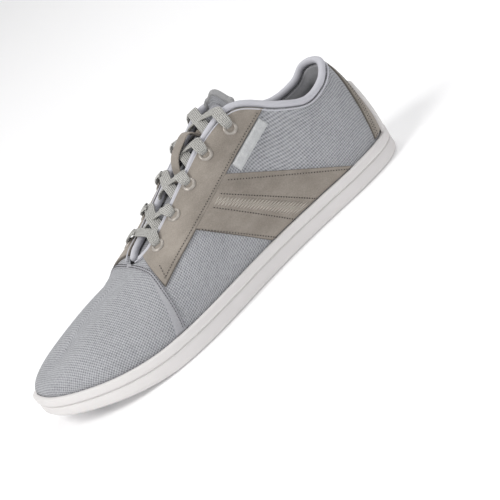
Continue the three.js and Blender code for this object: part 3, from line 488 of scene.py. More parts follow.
@dataclass
class Skin:
    """Points and faces of a piece while it is made, in the shoe's millimetres."""

    points: list = field(default_factory=list)
    faces: list = field(default_factory=list)
    maps: list = field(default_factory=list)
    rims: list = field(default_factory=list)

    @property
    def count(self) -> int:
        """Number of points so far."""
        return sum(len(p) for p in self.points)

    def add_grid(
        self,
        grid: np.ndarray,
        closed: tuple[bool, bool] = (False, False),
        cloth: np.ndarray | None = None,
        rim: np.ndarray | None = None,
    ) -> np.ndarray:
        """Adds a grid of points and the faces between them.

        Args:
            grid: Rows and columns of points.
            closed: Whether rows and columns run round.
            cloth: Two map coordinates for each point.
            rim: A number for each point, 1 at a cut edge.

        Returns:
            The numbers of the points, in the grid's shape.
        """
        rows, columns = grid.shape[:2]
        numbers = self.count + np.arange(rows * columns).reshape(rows, columns)
        self.points.append(grid.reshape(-1, 3))
        self.maps.append(np.zeros((rows * columns, 2)) if cloth is None else cloth.reshape(-1, 2))
        self.rims.append(np.zeros(rows * columns) if rim is None else rim.reshape(-1))
        a = numbers if closed[0] else numbers[:-1]
        b = np.roll(numbers, -1, 0) if closed[0] else numbers[1:]
        corners = [a, b]
        if closed[1]:
            quads = np.stack([a, np.roll(a, -1, 1), np.roll(b, -1, 1), b], -1)
        else:
            quads = np.stack([a[:, :-1], a[:, 1:], b[:, 1:], b[:, :-1]], -1)
        self.faces.extend(quads.reshape(-1, 4).tolist())
        return numbers

    def join(self, one: np.ndarray, other: np.ndarray, closed: bool = False) -> None:
        """Adds the faces between two lines of points.

        Args:
            one: Numbers of the first line's points.
            other: Numbers of the second line's points.
            closed: Whether the lines run round.
        """
        count = len(one) if closed else len(one) - 1
        for i in range(count):
            j = (i + 1) % len(one)
            self.faces.append([int(one[i]), int(one[j]), int(other[j]), int(other[i])])

    def add_tube(self, rings: np.ndarray, cloth: np.ndarray | None = None, closed: bool = False) -> None:
        """Adds a tube through rings of points, capped unless it runs round.

        Args:
            rings: Points of each ring.
            cloth: Two map coordinates for each point.
            closed: Whether the tube runs round.
        """
        numbers = self.add_grid(rings, (closed, True), cloth)
        if not closed:
            self.faces.append(numbers[0].tolist())
            self.faces.append(numbers[-1].tolist()[::-1])

    def add_shell(
        self,
        outer: np.ndarray,
        inner: np.ndarray,
        cloth: np.ndarray | None = None,
        rim: np.ndarray | None = None,
        closed: bool = False,
    ) -> None:
        """Adds a sheet with a thickness, closed round its border.

        Args:
            outer: Grid of the outer face.
            inner: Grid of the inner face.
            cloth: Two map coordinates for each point.
            rim: A number for each point, 1 at a cut edge.
            closed: Whether the columns run round.
        """
        top = self.add_grid(outer, (False, closed), cloth, rim)
        under = self.add_grid(inner[:, ::-1], (False, closed), None if cloth is None else cloth[:, ::-1])
        under = under[:, ::-1]
        self.join(top[0], under[0], closed)
        self.join(top[-1], under[-1], closed)
        if not closed:
            self.join(top[:, 0], under[:, 0])
            self.join(top[:, -1], under[:, -1])

    def piece(
        self,
        name: str,
        finish: "Finish",
        stands_for: Iterable[str] = (),
        merge: float = 1e-6,
        sharp: float | None = None,
    ) -> bpy.types.Object:
        """Makes the Blender object, merged, turned outwards, dressed and set on its body.

        Args:
            name: The piece's name.
            finish: What it is made of.
            stands_for: Nodes of the model that it replaces.
            merge: Distance in metres under which points are joined.
            sharp: Angle in degrees above which edges stay sharp.

        Returns:
            The finished object.
        """
        mesh = bpy.data.meshes.new(name)
        points = (np.concatenate(self.points) + SHIFT) * MM
        mesh.from_pydata(points.tolist(), [], self.faces)
        corner = np.zeros(len(mesh.loops), dtype=int)
        mesh.loops.foreach_get("vertex_index", corner)
        layer = mesh.uv_layers.new(name="cloth")
        layer.data.foreach_set("uv", np.concatenate(self.maps)[corner].astype(np.float32).ravel())
        write_values(mesh, "rim", np.concatenate(self.rims))
        work = bmesh.new()
        work.from_mesh(mesh)
        bmesh.ops.remove_doubles(work, verts=work.verts, dist=merge)
        bmesh.ops.dissolve_degenerate(work, edges=work.edges, dist=merge / 10)
        bmesh.ops.recalc_face_normals(work, faces=work.faces)
        work.to_mesh(mesh)
        work.free()
        mesh.shade_smooth()
        if sharp is not None:
            mesh.set_sharp_from_angle(angle=math.radians(sharp))
        return set_piece(bpy.data.objects.new(name, mesh), finish, stands_for)


def write_values(mesh: bpy.types.Mesh, name: str, values: Sequence) -> None:
    """Writes a number or a vector for each point into a named attribute.

    Args:
        mesh: The mesh.
        name: The attribute's name.
        values: A number or a vector for each point.
    """
    numbers = np.asarray(values, dtype=np.float32)
    kind, key = ("FLOAT", "value") if numbers.ndim == 1 else ("FLOAT_VECTOR", "vector")
    mesh.attributes.new(name, kind, "POINT").data.foreach_set(key, numbers.ravel())


def set_piece(
    piece: bpy.types.Object, finish: "Finish", stands_for: Iterable[str] = ()
) -> bpy.types.Object:
    """Links a piece, dresses it, sets it on its body and hides the model's nodes that it replaces.

    Args:
        piece: The object.
        finish: What it is made of.
        stands_for: Nodes of the model that it replaces.

    Returns:
        The same object.
    """
    if piece.name not in bpy.context.scene.collection.objects:
        bpy.context.scene.collection.objects.link(piece)
    piece.data.materials.clear()
    piece.data.materials.append(finish.material())
    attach(piece, BODY)
    nodes = tuple(stands_for)
    if nodes:
        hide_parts(*nodes)
    LOG.info("%s: %d faces, %s", piece.name, len(piece.data.polygons), finish.name)
    return piece


def tube_rings(
    path: np.ndarray, out: np.ndarray, across: np.ndarray, up: np.ndarray, sides: int, power: float = 1.0
) -> np.ndarray:
    """Rings round a path.

    Args:
        path: Points along it.
        out: Direction at each point that faces up from the ring.
        across: Half width at each point.
        up: Half thickness at each point.
        sides: Points in a ring.
        power: Below 1 the ring is more like a box.

    Returns:
        Rings of points.
    """
    along = unit(np.gradient(path, axis=0))
    side = unit(np.cross(along, out))
    rise = np.cross(side, along)
    angle = np.arange(sides) * 2 * np.pi / sides
    cos, sin = np.cos(angle), np.sin(angle)
    flat = np.sign(cos) * np.abs(cos) ** power
    tall = np.sign(sin) * np.abs(sin) ** power
    return (
        path[:, None]
        + side[:, None] * (np.asarray(across)[:, None] * flat)[..., None]
        + rise[:, None] * (np.asarray(up)[:, None] * tall)[..., None]
    )


def tube_map(run: np.ndarray, around: np.ndarray) -> np.ndarray:
    """Map coordinates of a tube, from the way along it and the way round it."""
    return np.stack(np.broadcast_arrays(run[:, None], around[None, :]), -1)


# Node trees


class Wire:
    """A socket that takes part in sums, which add their Math nodes."""

    def __init__(self, bench: "Bench", socket: bpy.types.NodeSocket) -> None:
        """Keeps the socket and the tree that it is in."""
        self.bench, self.socket = bench, socket

    def do(self, operation: str, *others: "Wire | float") -> "Wire":
        """Adds a Math node with this socket first."""
        return self.bench.math(operation, self, *others)

    def __add__(self, other: "Wire | float") -> "Wire":
        """Sum."""
        return self.do("ADD", other)

    __radd__ = __add__

    def __sub__(self, other: "Wire | float") -> "Wire":
        """Difference."""
        return self.do("SUBTRACT", other)

    def __rsub__(self, other: float) -> "Wire":
        """Difference from a number."""
        return self.bench.math("SUBTRACT", other, self)

    def __mul__(self, other: "Wire | float") -> "Wire":
        """Product."""
        return self.do("MULTIPLY", other)

    __rmul__ = __mul__

    def __truediv__(self, other: "Wire | float") -> "Wire":
        """Quotient."""
        return self.do("DIVIDE", other)

    def __rtruediv__(self, other: float) -> "Wire":
        """Quotient of a number."""
        return self.bench.math("DIVIDE", other, self)

    def __pow__(self, other: "Wire | float") -> "Wire":
        """Power."""
        return self.do("POWER", other)

    def __neg__(self) -> "Wire":
        """Opposite."""
        return self.do("MULTIPLY", -1.0)

    def sin(self) -> "Wire":
        """Sine."""
        return self.do("SINE")

    def floor(self) -> "Wire":
        """Whole part."""
        return self.do("FLOOR")

    def between(self, low: float, high: float) -> "Wire":
        """Smooth step from 0 at low to 1 at high."""
        return self.bench.node(
            "ShaderNodeMapRange",
            {"interpolation_type": "SMOOTHSTEP"},
            {"Value": self, "From Min": low, "From Max": high},
        )


class Bench:
    """A node tree under construction."""

    def __init__(self, tree: bpy.types.NodeTree) -> None:
        """Keeps the tree."""
        self.tree = tree

    def node(
        self, kind: str, settings: dict | None = None, inputs: dict | None = None, output: str | int = 0
    ) -> Wire:
        """Adds a node.

        Args:
            kind: Its type.
            settings: Its own settings, which are set first.
            inputs: Values or wires by the name, identifier or number of a socket.
            output: Name, identifier or number of the socket wanted.

        Returns:
            That output.
        """
        made = self.tree.nodes.new(kind)
        for key, value in (settings or {}).items():
            if key == "stops":
                self.set_stops(made, value)
            else:
                setattr(made, key, value)
        for key, value in (inputs or {}).items():
            socket = self.socket(made.inputs, key)
            if isinstance(value, Wire):
                self.tree.links.new(value.socket, socket)
            else:
                socket.default_value = value
        found = self.socket(made.outputs, output) if len(made.outputs) else None
        return Wire(self, found)

    @staticmethod
    def socket(sockets: Iterable, key: str | int) -> bpy.types.NodeSocket:
        """Finds a socket by its number, identifier or name.

        Args:
            sockets: Where to look.
            key: The number, identifier or name.

        Returns:
            The socket.
        """
        if isinstance(key, int):
            return sockets[key]
        for test in (lambda s: s.identifier == key, lambda s: s.name == key and s.enabled):
            for socket in sockets:
                if test(socket):
                    return socket
        raise KeyError(key)

    @staticmethod
    def set_stops(ramp: bpy.types.Node, stops: Sequence[tuple]) -> None:
        """Sets the stops of a colour ramp.

        Args:
            ramp: The ramp's node.
            stops: Position and colour of each stop.
        """
        elements = ramp.color_ramp.elements
        while len(elements) < len(stops):
            elements.new(0.5)
        for element, (position, colour) in zip(elements, stops):
            element.position, element.color = position, colour

    def math(self, operation: str, *values: Wire | float) -> Wire:
        """Adds a Math node."""
        kind = "ShaderNodeMath"
        return self.node(kind, {"operation": operation}, dict(enumerate(values)))

    def mix(self, share: Wire | float, one: "Wire | tuple", other: "Wire | tuple") -> Wire:
        """Mixes two colours.

        Args:
            share: How much of the other colour.
            one: The first colour.
            other: The other colour.

        Returns:
            The mixed colour.
        """
        inputs = {"Factor_Float": share, "A_Color": one, "B_Color": other}
        settings = {"data_type": "RGBA"}
        return self.node("ShaderNodeMix", settings, inputs, "Result_Color")

    def vector(self, operation: str, *values: "Wire | tuple") -> Wire:
        """Adds a Vector Math node."""
        return self.node("ShaderNodeVectorMath", {"operation": operation}, dict(enumerate(values)))

    def scaled(self, vector: Wire, size: tuple[float, float, float]) -> Wire:
        """A vector times a size in each direction."""
        return self.vector("MULTIPLY", vector, size)

    def parts(self, vector: Wire) -> tuple[Wire, Wire]:
        """The first two parts of a vector."""
        split = self.node("ShaderNodeSeparateXYZ", None, {0: vector})
        node = split.socket.node
        return Wire(self, node.outputs[0]), Wire(self, node.outputs[1])

    def named(self, name: str, kind: str = "FLOAT") -> Wire:
        """A named attribute of the points."""
        return self.node("GeometryNodeInputNamedAttribute", {"data_type": kind}, {"Name": name})

    def noise(self, vector: Wire, scale: float, detail: float = 3.0, rough: float = 0.55) -> Wire:
        """Noise from 0 to 1."""
        inputs = {"Vector": vector, "Scale": scale, "Detail": detail, "Roughness": rough}
        return self.node("ShaderNodeTexNoise", None, inputs)


def open_tree(
    name: str, inputs: Sequence[tuple[str, str]]
) -> tuple[Bench, dict[str, str], list[Wire]]:
    """Starts a geometry tree.

    Args:
        name: The tree's name.
        inputs: Name and kind of each input.

    Returns:
        Its bench, the identifiers of its inputs by name, and their wires.
    """
    tree = bpy.data.node_groups.new(name, "GeometryNodeTree")
    sockets = {}
    for label, kind in inputs:
        made = tree.interface.new_socket(name=label, in_out="INPUT", socket_type=f"NodeSocket{kind}")
        sockets[label] = made.identifier
    tree.interface.new_socket(name="Result", in_out="OUTPUT", socket_type="NodeSocketGeometry")
    bench = Bench(tree)
    start = bench.node("NodeGroupInput").socket.node
    return bench, sockets, [Wire(bench, start.outputs[i]) for i in range(len(inputs))]


def lay_out(bench: Bench, points: Wire, shape: Wire, turn: Wire, size: Wire, finish: Wire) -> None:
    """Ends a geometry tree with one shape on each point, made real and given its material.

    Args:
        bench: The tree's bench.
        points: Where the shapes go.
        shape: The shape.
        turn: How each is turned.
        size: How large each is.
        finish: Their material.
    """
    placed = bench.node(
        "GeometryNodeInstanceOnPoints",
        None,
        {"Points": points, "Instance": shape, "Rotation": turn, "Scale": size},
    )
    real = bench.node("GeometryNodeRealizeInstances", None, {"Geometry": placed})
    dressed = bench.node("GeometryNodeSetMaterial", None, {"Geometry": real, "Material": finish})
    bench.node("NodeGroupOutput", None, {0: dressed})


# Finishes


def colour(code: int, lift: float = 1.0) -> tuple[float, float, float, float]:
    """Turns a six-digit screen colour into the renderer's own, brightened by lift.

    Args:
        code: The colour as 0xRRGGBB.
        lift: Factor on its brightness.

    Returns:
        Red, green, blue and alpha.
    """
    parts = [((code >> shift) & 255) / 255 for shift in (16, 8, 0)]
    linear = [p / 12.92 if p <= 0.04045 else ((p + 0.055) / 1.055) ** 2.4 for p in parts]
    return (*[min(1.0, p * lift) for p in linear], 1.0)


@dataclass(frozen=True)
class Finish:
    """What a piece is made of."""

    name: str
    slot: str = ""
    base: int = 0x888888
    deep: int = 0x666666
    roughness: float = 0.8
    sheen: float = 0.0
    specular: float = 0.3
    bump: float = 0.3
    depth: float = 0.0003

    def material(self) -> bpy.types.Material:
        """The finish as a material, made once."""
        known = bpy.data.materials.get(self.name)
        if known:
            return known
        made = bpy.data.materials.new(self.name)
        made.use_nodes = True
        made.node_tree.nodes.clear()
        bench = Bench(made.node_tree)
        tint, rough, height = self.pattern(bench)
        normal = bench.node(
            "ShaderNodeBump", None, {"Strength": self.bump, "Distance": self.depth, "Height": height}
        )
        inputs = {
            "Base Color": tint,
            "Roughness": rough,
            "Normal": normal,
            "Specular IOR Level": self.specular,
            "Sheen Weight": self.sheen,
            "Sheen Roughness": 0.4,
        }
        inputs.update(self.extras())
        shader = bench.node("ShaderNodeBsdfPrincipled", None, inputs)
        bench.node("ShaderNodeOutputMaterial", None, {"Surface": shader})
        return made

    def extras(self) -> dict:
        """Further plain values of the shader."""
        return {}

    def place(self, bench: Bench) -> Wire:
        """The piece's own coordinates in metres."""
        return bench.node("ShaderNodeTexCoord", None, None, "Object")

    def cloth(self, bench: Bench) -> Wire:
        """The cloth map in millimetres."""
        return bench.node("ShaderNodeUVMap", {"uv_map": "cloth"}, None, "UV")

    def rim(self, bench: Bench) -> Wire:
        """1 at a cut edge and 0 away from it."""
        return bench.node("ShaderNodeAttribute", {"attribute_name": "rim"}, None, "Fac")

    def pattern(self, bench: Bench) -> tuple[Wire, Wire, Wire]:
        """Colour, roughness and height over the surface."""
        fine = bench.noise(self.place(bench), 2500.0, 2.0)
        tint = bench.mix(fine, colour(self.deep), colour(self.base))
        return tint, fine * 0.1 + (self.roughness - 0.05), fine


@dataclass(frozen=True)
class Weave(Finish):
    """Plain woven cloth with threads of slightly different shades."""

    pitch: float = 0.62
    speckle: float = 0.5
    slant: float = 0.0

    def pattern(self, bench: Bench) -> tuple[Wire, Wire, Wire]:
        """Colour, roughness and height over the surface."""
        flat = self.cloth(bench)
        if self.slant:
            turn = {"Rotation": (0.0, 0.0, self.slant)}
            flat = bench.node("ShaderNodeMapping", None, {"Vector": flat, **turn})
        u, v = bench.parts(flat)
        cycle = math.pi / self.pitch
        warp, weft = (u * cycle).sin(), (v * cycle).sin()
        crossing = warp * weft
        height = crossing * 0.5 + 0.5
        cell_u, cell_v = (u / self.pitch).floor(), (v / self.pitch).floor()
        cell = bench.node("ShaderNodeCombineXYZ", None, {0: cell_u, 1: cell_v})
        single = bench.node("ShaderNodeTexWhiteNoise", {"noise_dimensions": "2D"}, {"Vector": cell})
        streak_u = bench.noise(bench.scaled(flat, (0.05, 1.6, 1.0)), 1.0, 1.0)
        streak_v = bench.noise(bench.scaled(flat, (1.6, 0.05, 1.0)), 1.0, 1.0)
        broad = bench.noise(self.place(bench), 28.0, 2.0)
        shade = height * 0.5 + single * 0.3 * self.speckle + streak_u * 0.12 + streak_v * 0.12
        shade = (shade + broad * 0.1).between(0.1, 0.8)
        tint = bench.mix(shade, colour(self.deep), colour(self.base))
        return tint, height * -0.05 + self.roughness, height * 0.8 + single * 0.25


@dataclass(frozen=True)
class Nubuck(Finish):
    """Sanded leather with a short nap, darkened towards its cut edges, partly as raw-edge colour and partly
    as painted shade of the seam gap.
    """

    # Colour at the cut edges: partly raw-edge colour, partly painted shade of the seam gap.
    edge: int = 0x57524D

    def pattern(self, bench: Bench) -> tuple[Wire, Wire, Wire]:
        """Colour, roughness and height over the surface."""
        spot = self.place(bench)
        nap = bench.noise(spot, 1400.0, 4.0, 0.7)
        brushed = bench.noise(bench.scaled(spot, (1.0, 1.0, 2.2)), 55.0, 4.0, 0.6)
        broad = bench.noise(spot, 16.0, 2.0)
        shade = (nap * 0.42 + brushed * 0.4 + broad * 0.3).between(0.3, 0.82)
        tint = bench.mix(shade, colour(self.deep), colour(self.base))
        # Darkens towards the cut edges: partly raw-edge colour, partly painted shade of the seam gap.
        tint = bench.mix(self.rim(bench).between(0.25, 0.95) * 0.85, tint, colour(self.edge))
        return tint, brushed * 0.08 + (self.roughness - 0.04), nap + brushed * 0.6


@dataclass(frozen=True)
class Rubber(Finish):
    """Moulded matt rubber with faint rub marks."""

    def pattern(self, bench: Bench) -> tuple[Wire, Wire, Wire]:
        """Colour, roughness and height over the surface."""
        spot = self.place(bench)
        grain = bench.noise(spot, 1800.0, 3.0, 0.6)
        cloud = bench.noise(spot, 22.0, 3.0)
        rubbed = bench.noise(bench.scaled(spot, (1.0, 1.0, 6.0)), 70.0, 5.0, 0.7)
        shade = (cloud * 0.6 + grain * 0.3 + rubbed * 0.25).between(0.35, 0.8)
        tint = bench.mix(shade, colour(self.deep), colour(self.base))
        return tint, rubbed * 0.16 + (self.roughness - 0.08), grain + rubbed * 0.5


@dataclass(frozen=True)
class Knit(Finish):
    """Fine knitted band with ribs across its run."""

    rib: float = 0.75
    course: float = 0.9

    def pattern(self, bench: Bench) -> tuple[Wire, Wire, Wire]:
        """Colour, roughness and height over the surface."""
        u, v = bench.parts(self.cloth(bench))
        slip = (v * (2 * math.pi / self.course)).sin()
        ribs = (u * (2 * math.pi / self.rib) + slip * 0.9).sin() * 0.5 + 0.5
        fuzz = bench.noise(self.place(bench), 1700.0, 3.0, 0.65)
        cloud = bench.noise(self.place(bench), 60.0, 2.0)
        shade = (ribs * 0.4 + fuzz * 0.4 + cloud * 0.3).between(0.25, 0.85)
        tint = bench.mix(shade, colour(self.deep), colour(self.base))
        return tint, fuzz * 0.06 + (self.roughness - 0.03), ribs + fuzz * 0.5


@dataclass(frozen=True)
class Braid(Finish):
    """Flat braided lace with ribs along it and strands that meet in arrows."""

    rib: float = 1.15
    arrow: float = 1.3

    def pattern(self, bench: Bench) -> tuple[Wire, Wire, Wire]:
        """Colour, roughness and height over the surface."""
        u, v = bench.parts(self.cloth(bench))
        fold = (v * (2 * math.pi / self.rib)).sin()
        ribs = fold * 0.5 + 0.5
        zigzag = bench.math("PINGPONG", v, self.rib / 2)
        strands = ((u + zigzag * 1.4) * (2 * math.pi / self.arrow)).sin() * 0.5 + 0.5
        fuzz = bench.noise(self.place(bench), 1500.0, 3.0, 0.65)
        cloud = bench.noise(self.place(bench), 45.0, 2.0)
        shade = (ribs * 0.3 + strands * 0.28 + fuzz * 0.34 + cloud * 0.2).between(0.22, 0.82)
        tint = bench.mix(shade, colour(self.deep), colour(self.base))
        return tint, fuzz * 0.06 + (self.roughness - 0.03), ribs + strands * 0.5 + fuzz * 0.4


@dataclass(frozen=True)
class Felt(Finish):
    """Brushed tape or lining with short tangled fibres."""

    def pattern(self, bench: Bench) -> tuple[Wire, Wire, Wire]:
        """Colour, roughness and height over the surface."""
        spot = self.place(bench)
        fibres = bench.noise(spot, 900.0, 6.0, 0.75)
        lumps = bench.noise(spot, 210.0, 3.0, 0.6)
        cloud = bench.noise(spot, 30.0, 2.0)
        shade = (fibres * 0.5 + lumps * 0.3 + cloud * 0.25).between(0.3, 0.8)
        tint = bench.mix(shade, colour(self.deep), colour(self.base))
        return tint, fibres * 0.06 + (self.roughness - 0.03), fibres + lumps * 0.7


@dataclass(frozen=True)
class Metal(Finish):
    """Satin painted metal with a faint random cloud in its colour."""

    metal: float = 0.35

    def extras(self) -> dict:
        """Further plain values of the shader."""
        return {"Metallic": self.metal}

    def pattern(self, bench: Bench) -> tuple[Wire, Wire, Wire]:
        """Colour, roughness and height over the surface."""
        spot = self.place(bench)
        cloud = bench.noise(spot, 300.0, 3.0)
        fine = bench.noise(spot, 1800.0, 3.0)
        tint = bench.mix(cloud.between(0.3, 0.75), colour(self.deep), colour(self.base))
        return tint, fine * 0.2 + (self.roughness - 0.1), fine


@dataclass(frozen=True)
class Backdrop(Finish):
    """Plain pale studio floor with a faint glow of its own."""

    glow: float = 0.14

    def extras(self) -> dict:
        """Further plain values of the shader."""
        return {"Emission Strength": self.glow}

    def pattern(self, bench: Bench) -> tuple[Wire, Wire, Wire]:
        """Colour, roughness and height over the surface."""
        cloud = bench.noise(self.place(bench), 3.0, 2.0)
        tint = bench.mix(cloud, colour(self.deep), colour(self.base))
        return tint, cloud * 0.05 + self.roughness, cloud


CANVAS = Weave("canvas_cloth", "canvas", 0xB9BABE, 0x76777B, 0.92, 0.2, 0.15, 0.9, 0.0004, 1.1, 0.4, 0.6)
TONGUE_CLOTH = replace(CANVAS, name="tongue_cloth", base=0xAEAFB3, deep=0x707175)
NUBUCK = Nubuck("taupe_nubuck", "nubuck", 0xA59D94, 0x7B746C, 0.88, 0.25, 0.2, 0.4, 0.0002)
SOLE = Rubber("sole_rubber", "sole_rubber", 0xC6C4C1, 0xB6B4B1, 0.55, 0.0, 0.4, 0.16, 0.0001)
TREAD = Rubber("tread_rubber", "sole_rubber", 0xC2C1C3, 0xA9A9AC, 0.6, 0.0, 0.4, 0.3, 0.00015)
BINDING = Knit("binding_knit", "binding_knit", 0xB9B9BA, 0x88888A, 0.9, 0.3, 0.15, 0.8, 0.0004)
TONGUE_BAND = replace(BINDING, name="tongue_band_knit", base=0xB5B5B6, deep=0x858587)
LINING = Weave("lining_cloth", "lining", 0xA9A9AC, 0x828285, 0.94, 0.4, 0.1, 0.4, 0.0002, 0.5)
LABEL_CLOTH = Weave("label_satin", "lining", 0x9C9CA1, 0x808086, 0.6, 0.2, 0.3, 0.3, 0.0001, 0.35)
INSOLE = Felt("insole_cloth", "insole_foam", 0x8C8C92, 0x6A6A70, 0.95, 0.3, 0.1, 0.5, 0.0003)
TAPE = Weave("seam_tape_cloth", "seam_tape", 0xB2B2B6, 0x8C8C91, 0.85, 0.2, 0.2, 0.5, 0.0002, 0.5)
TAB = Felt("tab_tape_felt", "tab_tape", 0xDEDFDF, 0xAEB0B2, 0.95, 0.5, 0.1, 1.0, 0.0006)
LACE = Braid("lace_braid", "lace_cotton", 0xD8D7D3, 0x96958F, 0.85, 0.25, 0.15, 1.0, 0.0006)
EYELET = Metal("eyelet_paint", "eyelet_metal", 0xB3ADA6, 0x9A948D, 0.42, 0.0, 0.5, 0.1, 0.0001)
# Near-black painted shade, put inside the eyelets and the needle holes where only shade falls.
HOLE_SHADE = Felt("hollow_shade", "lining", 0x2A2A2C, 0x1E1E20, 0.95, 0.0, 0.05, 0.2, 0.0001)
TAUPE_THREAD = Felt("taupe_thread", "nubuck", 0xA8A199, 0x827B73, 0.8, 0.1, 0.2, 0.4, 0.0001)
GREY_THREAD = Felt("grey_thread", "seam_tape", 0x9A9A9F, 0x77777C, 0.8, 0.1, 0.2, 0.4, 0.0001)
PALE_THREAD = Felt("pale_thread", "nubuck", 0xCFC9C0, 0xACA59C, 0.8, 0.1, 0.2, 0.4, 0.0001)
FLOOR = Backdrop("studio_floor", "", 0xF6F6F7, 0xF4F4F5, 0.7, 0.0, 0.2, 0.0, 0.0001)


# Stitches and lugs, repeated by node trees


class Sewing:
    """Rows of stitches, gathered and then made by one node tree for each thread."""

    def __init__(self) -> None:
        """Starts with no stitches."""
        self.rows: dict[str, list] = {}
        self.threads: dict[str, tuple[Finish, float]] = {}

    def use(self, name: str, finish: Finish, radius: float) -> None:
        """Names a thread with its radius in millimetres."""
        self.rows[name], self.threads[name] = [], (finish, radius)

    def stitch(self, thread: str, start: np.ndarray, end: np.ndarray, out: np.ndarray) -> None:
        """Adds single stitches from their starts to their ends."""
        self.rows[thread].append(np.concatenate([start, end, out], axis=1))

    def run(self, thread: str, line: np.ndarray, out: np.ndarray, length: float, pitch: float) -> None:
        """Adds a row of stitches along a line, with a dark dot between each two as painted shade in the
        needle holes.

        Args:
            thread: Which thread.
            line: Points of the line.
            out: Direction out of the surface at each.
            length: Length of a stitch.
            pitch: Distance from one stitch to the next.
        """
        run = run_length(line, 0)
        count = int(run[-1] // pitch)
        starts = (np.arange(count) + 0.5) * run[-1] / count - length / 2

        def at(where: np.ndarray, values: np.ndarray) -> np.ndarray:
            """Values at lengths along the line."""
            return np.stack([np.interp(where, run, column) for column in values.T], axis=1)

        middle = at(starts + length / 2, out)
        self.stitch(thread, at(starts, line), at(starts + length, line), middle)
        # Dark dots between the stitches are painted shade in the needle holes.
        gap = pitch - length
        hole_shade_starts = starts + length + gap * 0.1
        self.stitch("needle_holes", at(hole_shade_starts, line), at(hole_shade_starts + gap * 0.8, line), middle)

    @staticmethod
    def tree() -> tuple[bpy.types.NodeTree, dict[str, str]]:
        """Node tree that lays one thread loop on each point.

        Returns:
            The tree, and the identifiers of its inputs by name.
        """
        inputs = (("Points", "Geometry"), ("Thread radius", "Float"), ("Thread", "Material"))
        bench, sockets, (points, radius, thread) = open_tree("sewn_stitches", inputs)
        loop = bench.node("GeometryNodeMeshUVSphere", None, {"Segments": 6, "Rings": 4, "Radius": 1.0})
        out, along = bench.named("out", "FLOAT_VECTOR"), bench.named("along", "FLOAT_VECTOR")
        turn = bench.node(
            "FunctionNodeAxesToRotation",
            {"primary_axis": "Z", "secondary_axis": "X"},
            {"Primary Axis": out, "Secondary Axis": along},
        )
        size = bench.node("ShaderNodeCombineXYZ", None, {0: bench.named("half"), 1: radius, 2: radius})
        lay_out(bench, points, loop, turn, size, thread)
        return bench.tree, sockets

    def build(self) -> None:
        """Makes one piece of all stitches of each thread."""
        tree, sockets = self.tree()
        for name, rows in self.rows.items():
            if not rows:
                continue
            finish, radius = self.threads[name]
            stitches = np.concatenate(rows)
            start, end, out = stitches[:, :3], stitches[:, 3:6], stitches[:, 6:]
            mesh = bpy.data.meshes.new(name)
            mesh.from_pydata((((start + end) / 2 + SHIFT) * MM).tolist(), [], [])
            write_values(mesh, "out", unit(out))
            write_values(mesh, "along", unit(end - start))
            write_values(mesh, "half", np.linalg.norm(end - start, axis=1) / 2 * MM)
            values = {"Thread radius": radius * MM, "Thread": finish.material()}
            grown = grow(bpy.data.objects.new(name, mesh), tree, sockets, values)
            set_piece(grown, finish)


def grow(
    piece: bpy.types.Object, tree: bpy.types.NodeTree, sockets: dict[str, str], values: dict
) -> bpy.types.Object:
    """Runs a node tree on an object and keeps the plain mesh that comes of it.

    Args:
        piece: The object.
        tree: The node tree.
        sockets: Identifiers of its inputs by name.
        values: Values of its inputs by name.

    Returns:
        The same object with its new mesh and no modifier.
    """
    bpy.context.scene.collection.objects.link(piece)
    made = piece.modifiers.new(tree.name, "NODES")
    made.node_group = tree
    for name, value in values.items():
        made[sockets[name]] = value
    graph = bpy.context.evaluated_depsgraph_get()
    mesh = bpy.data.meshes.new_from_object(piece.evaluated_get(graph))
    piece.modifiers.clear()
    piece.data = mesh
    mesh.shade_smooth()
    return piece


# The shoe's pieces


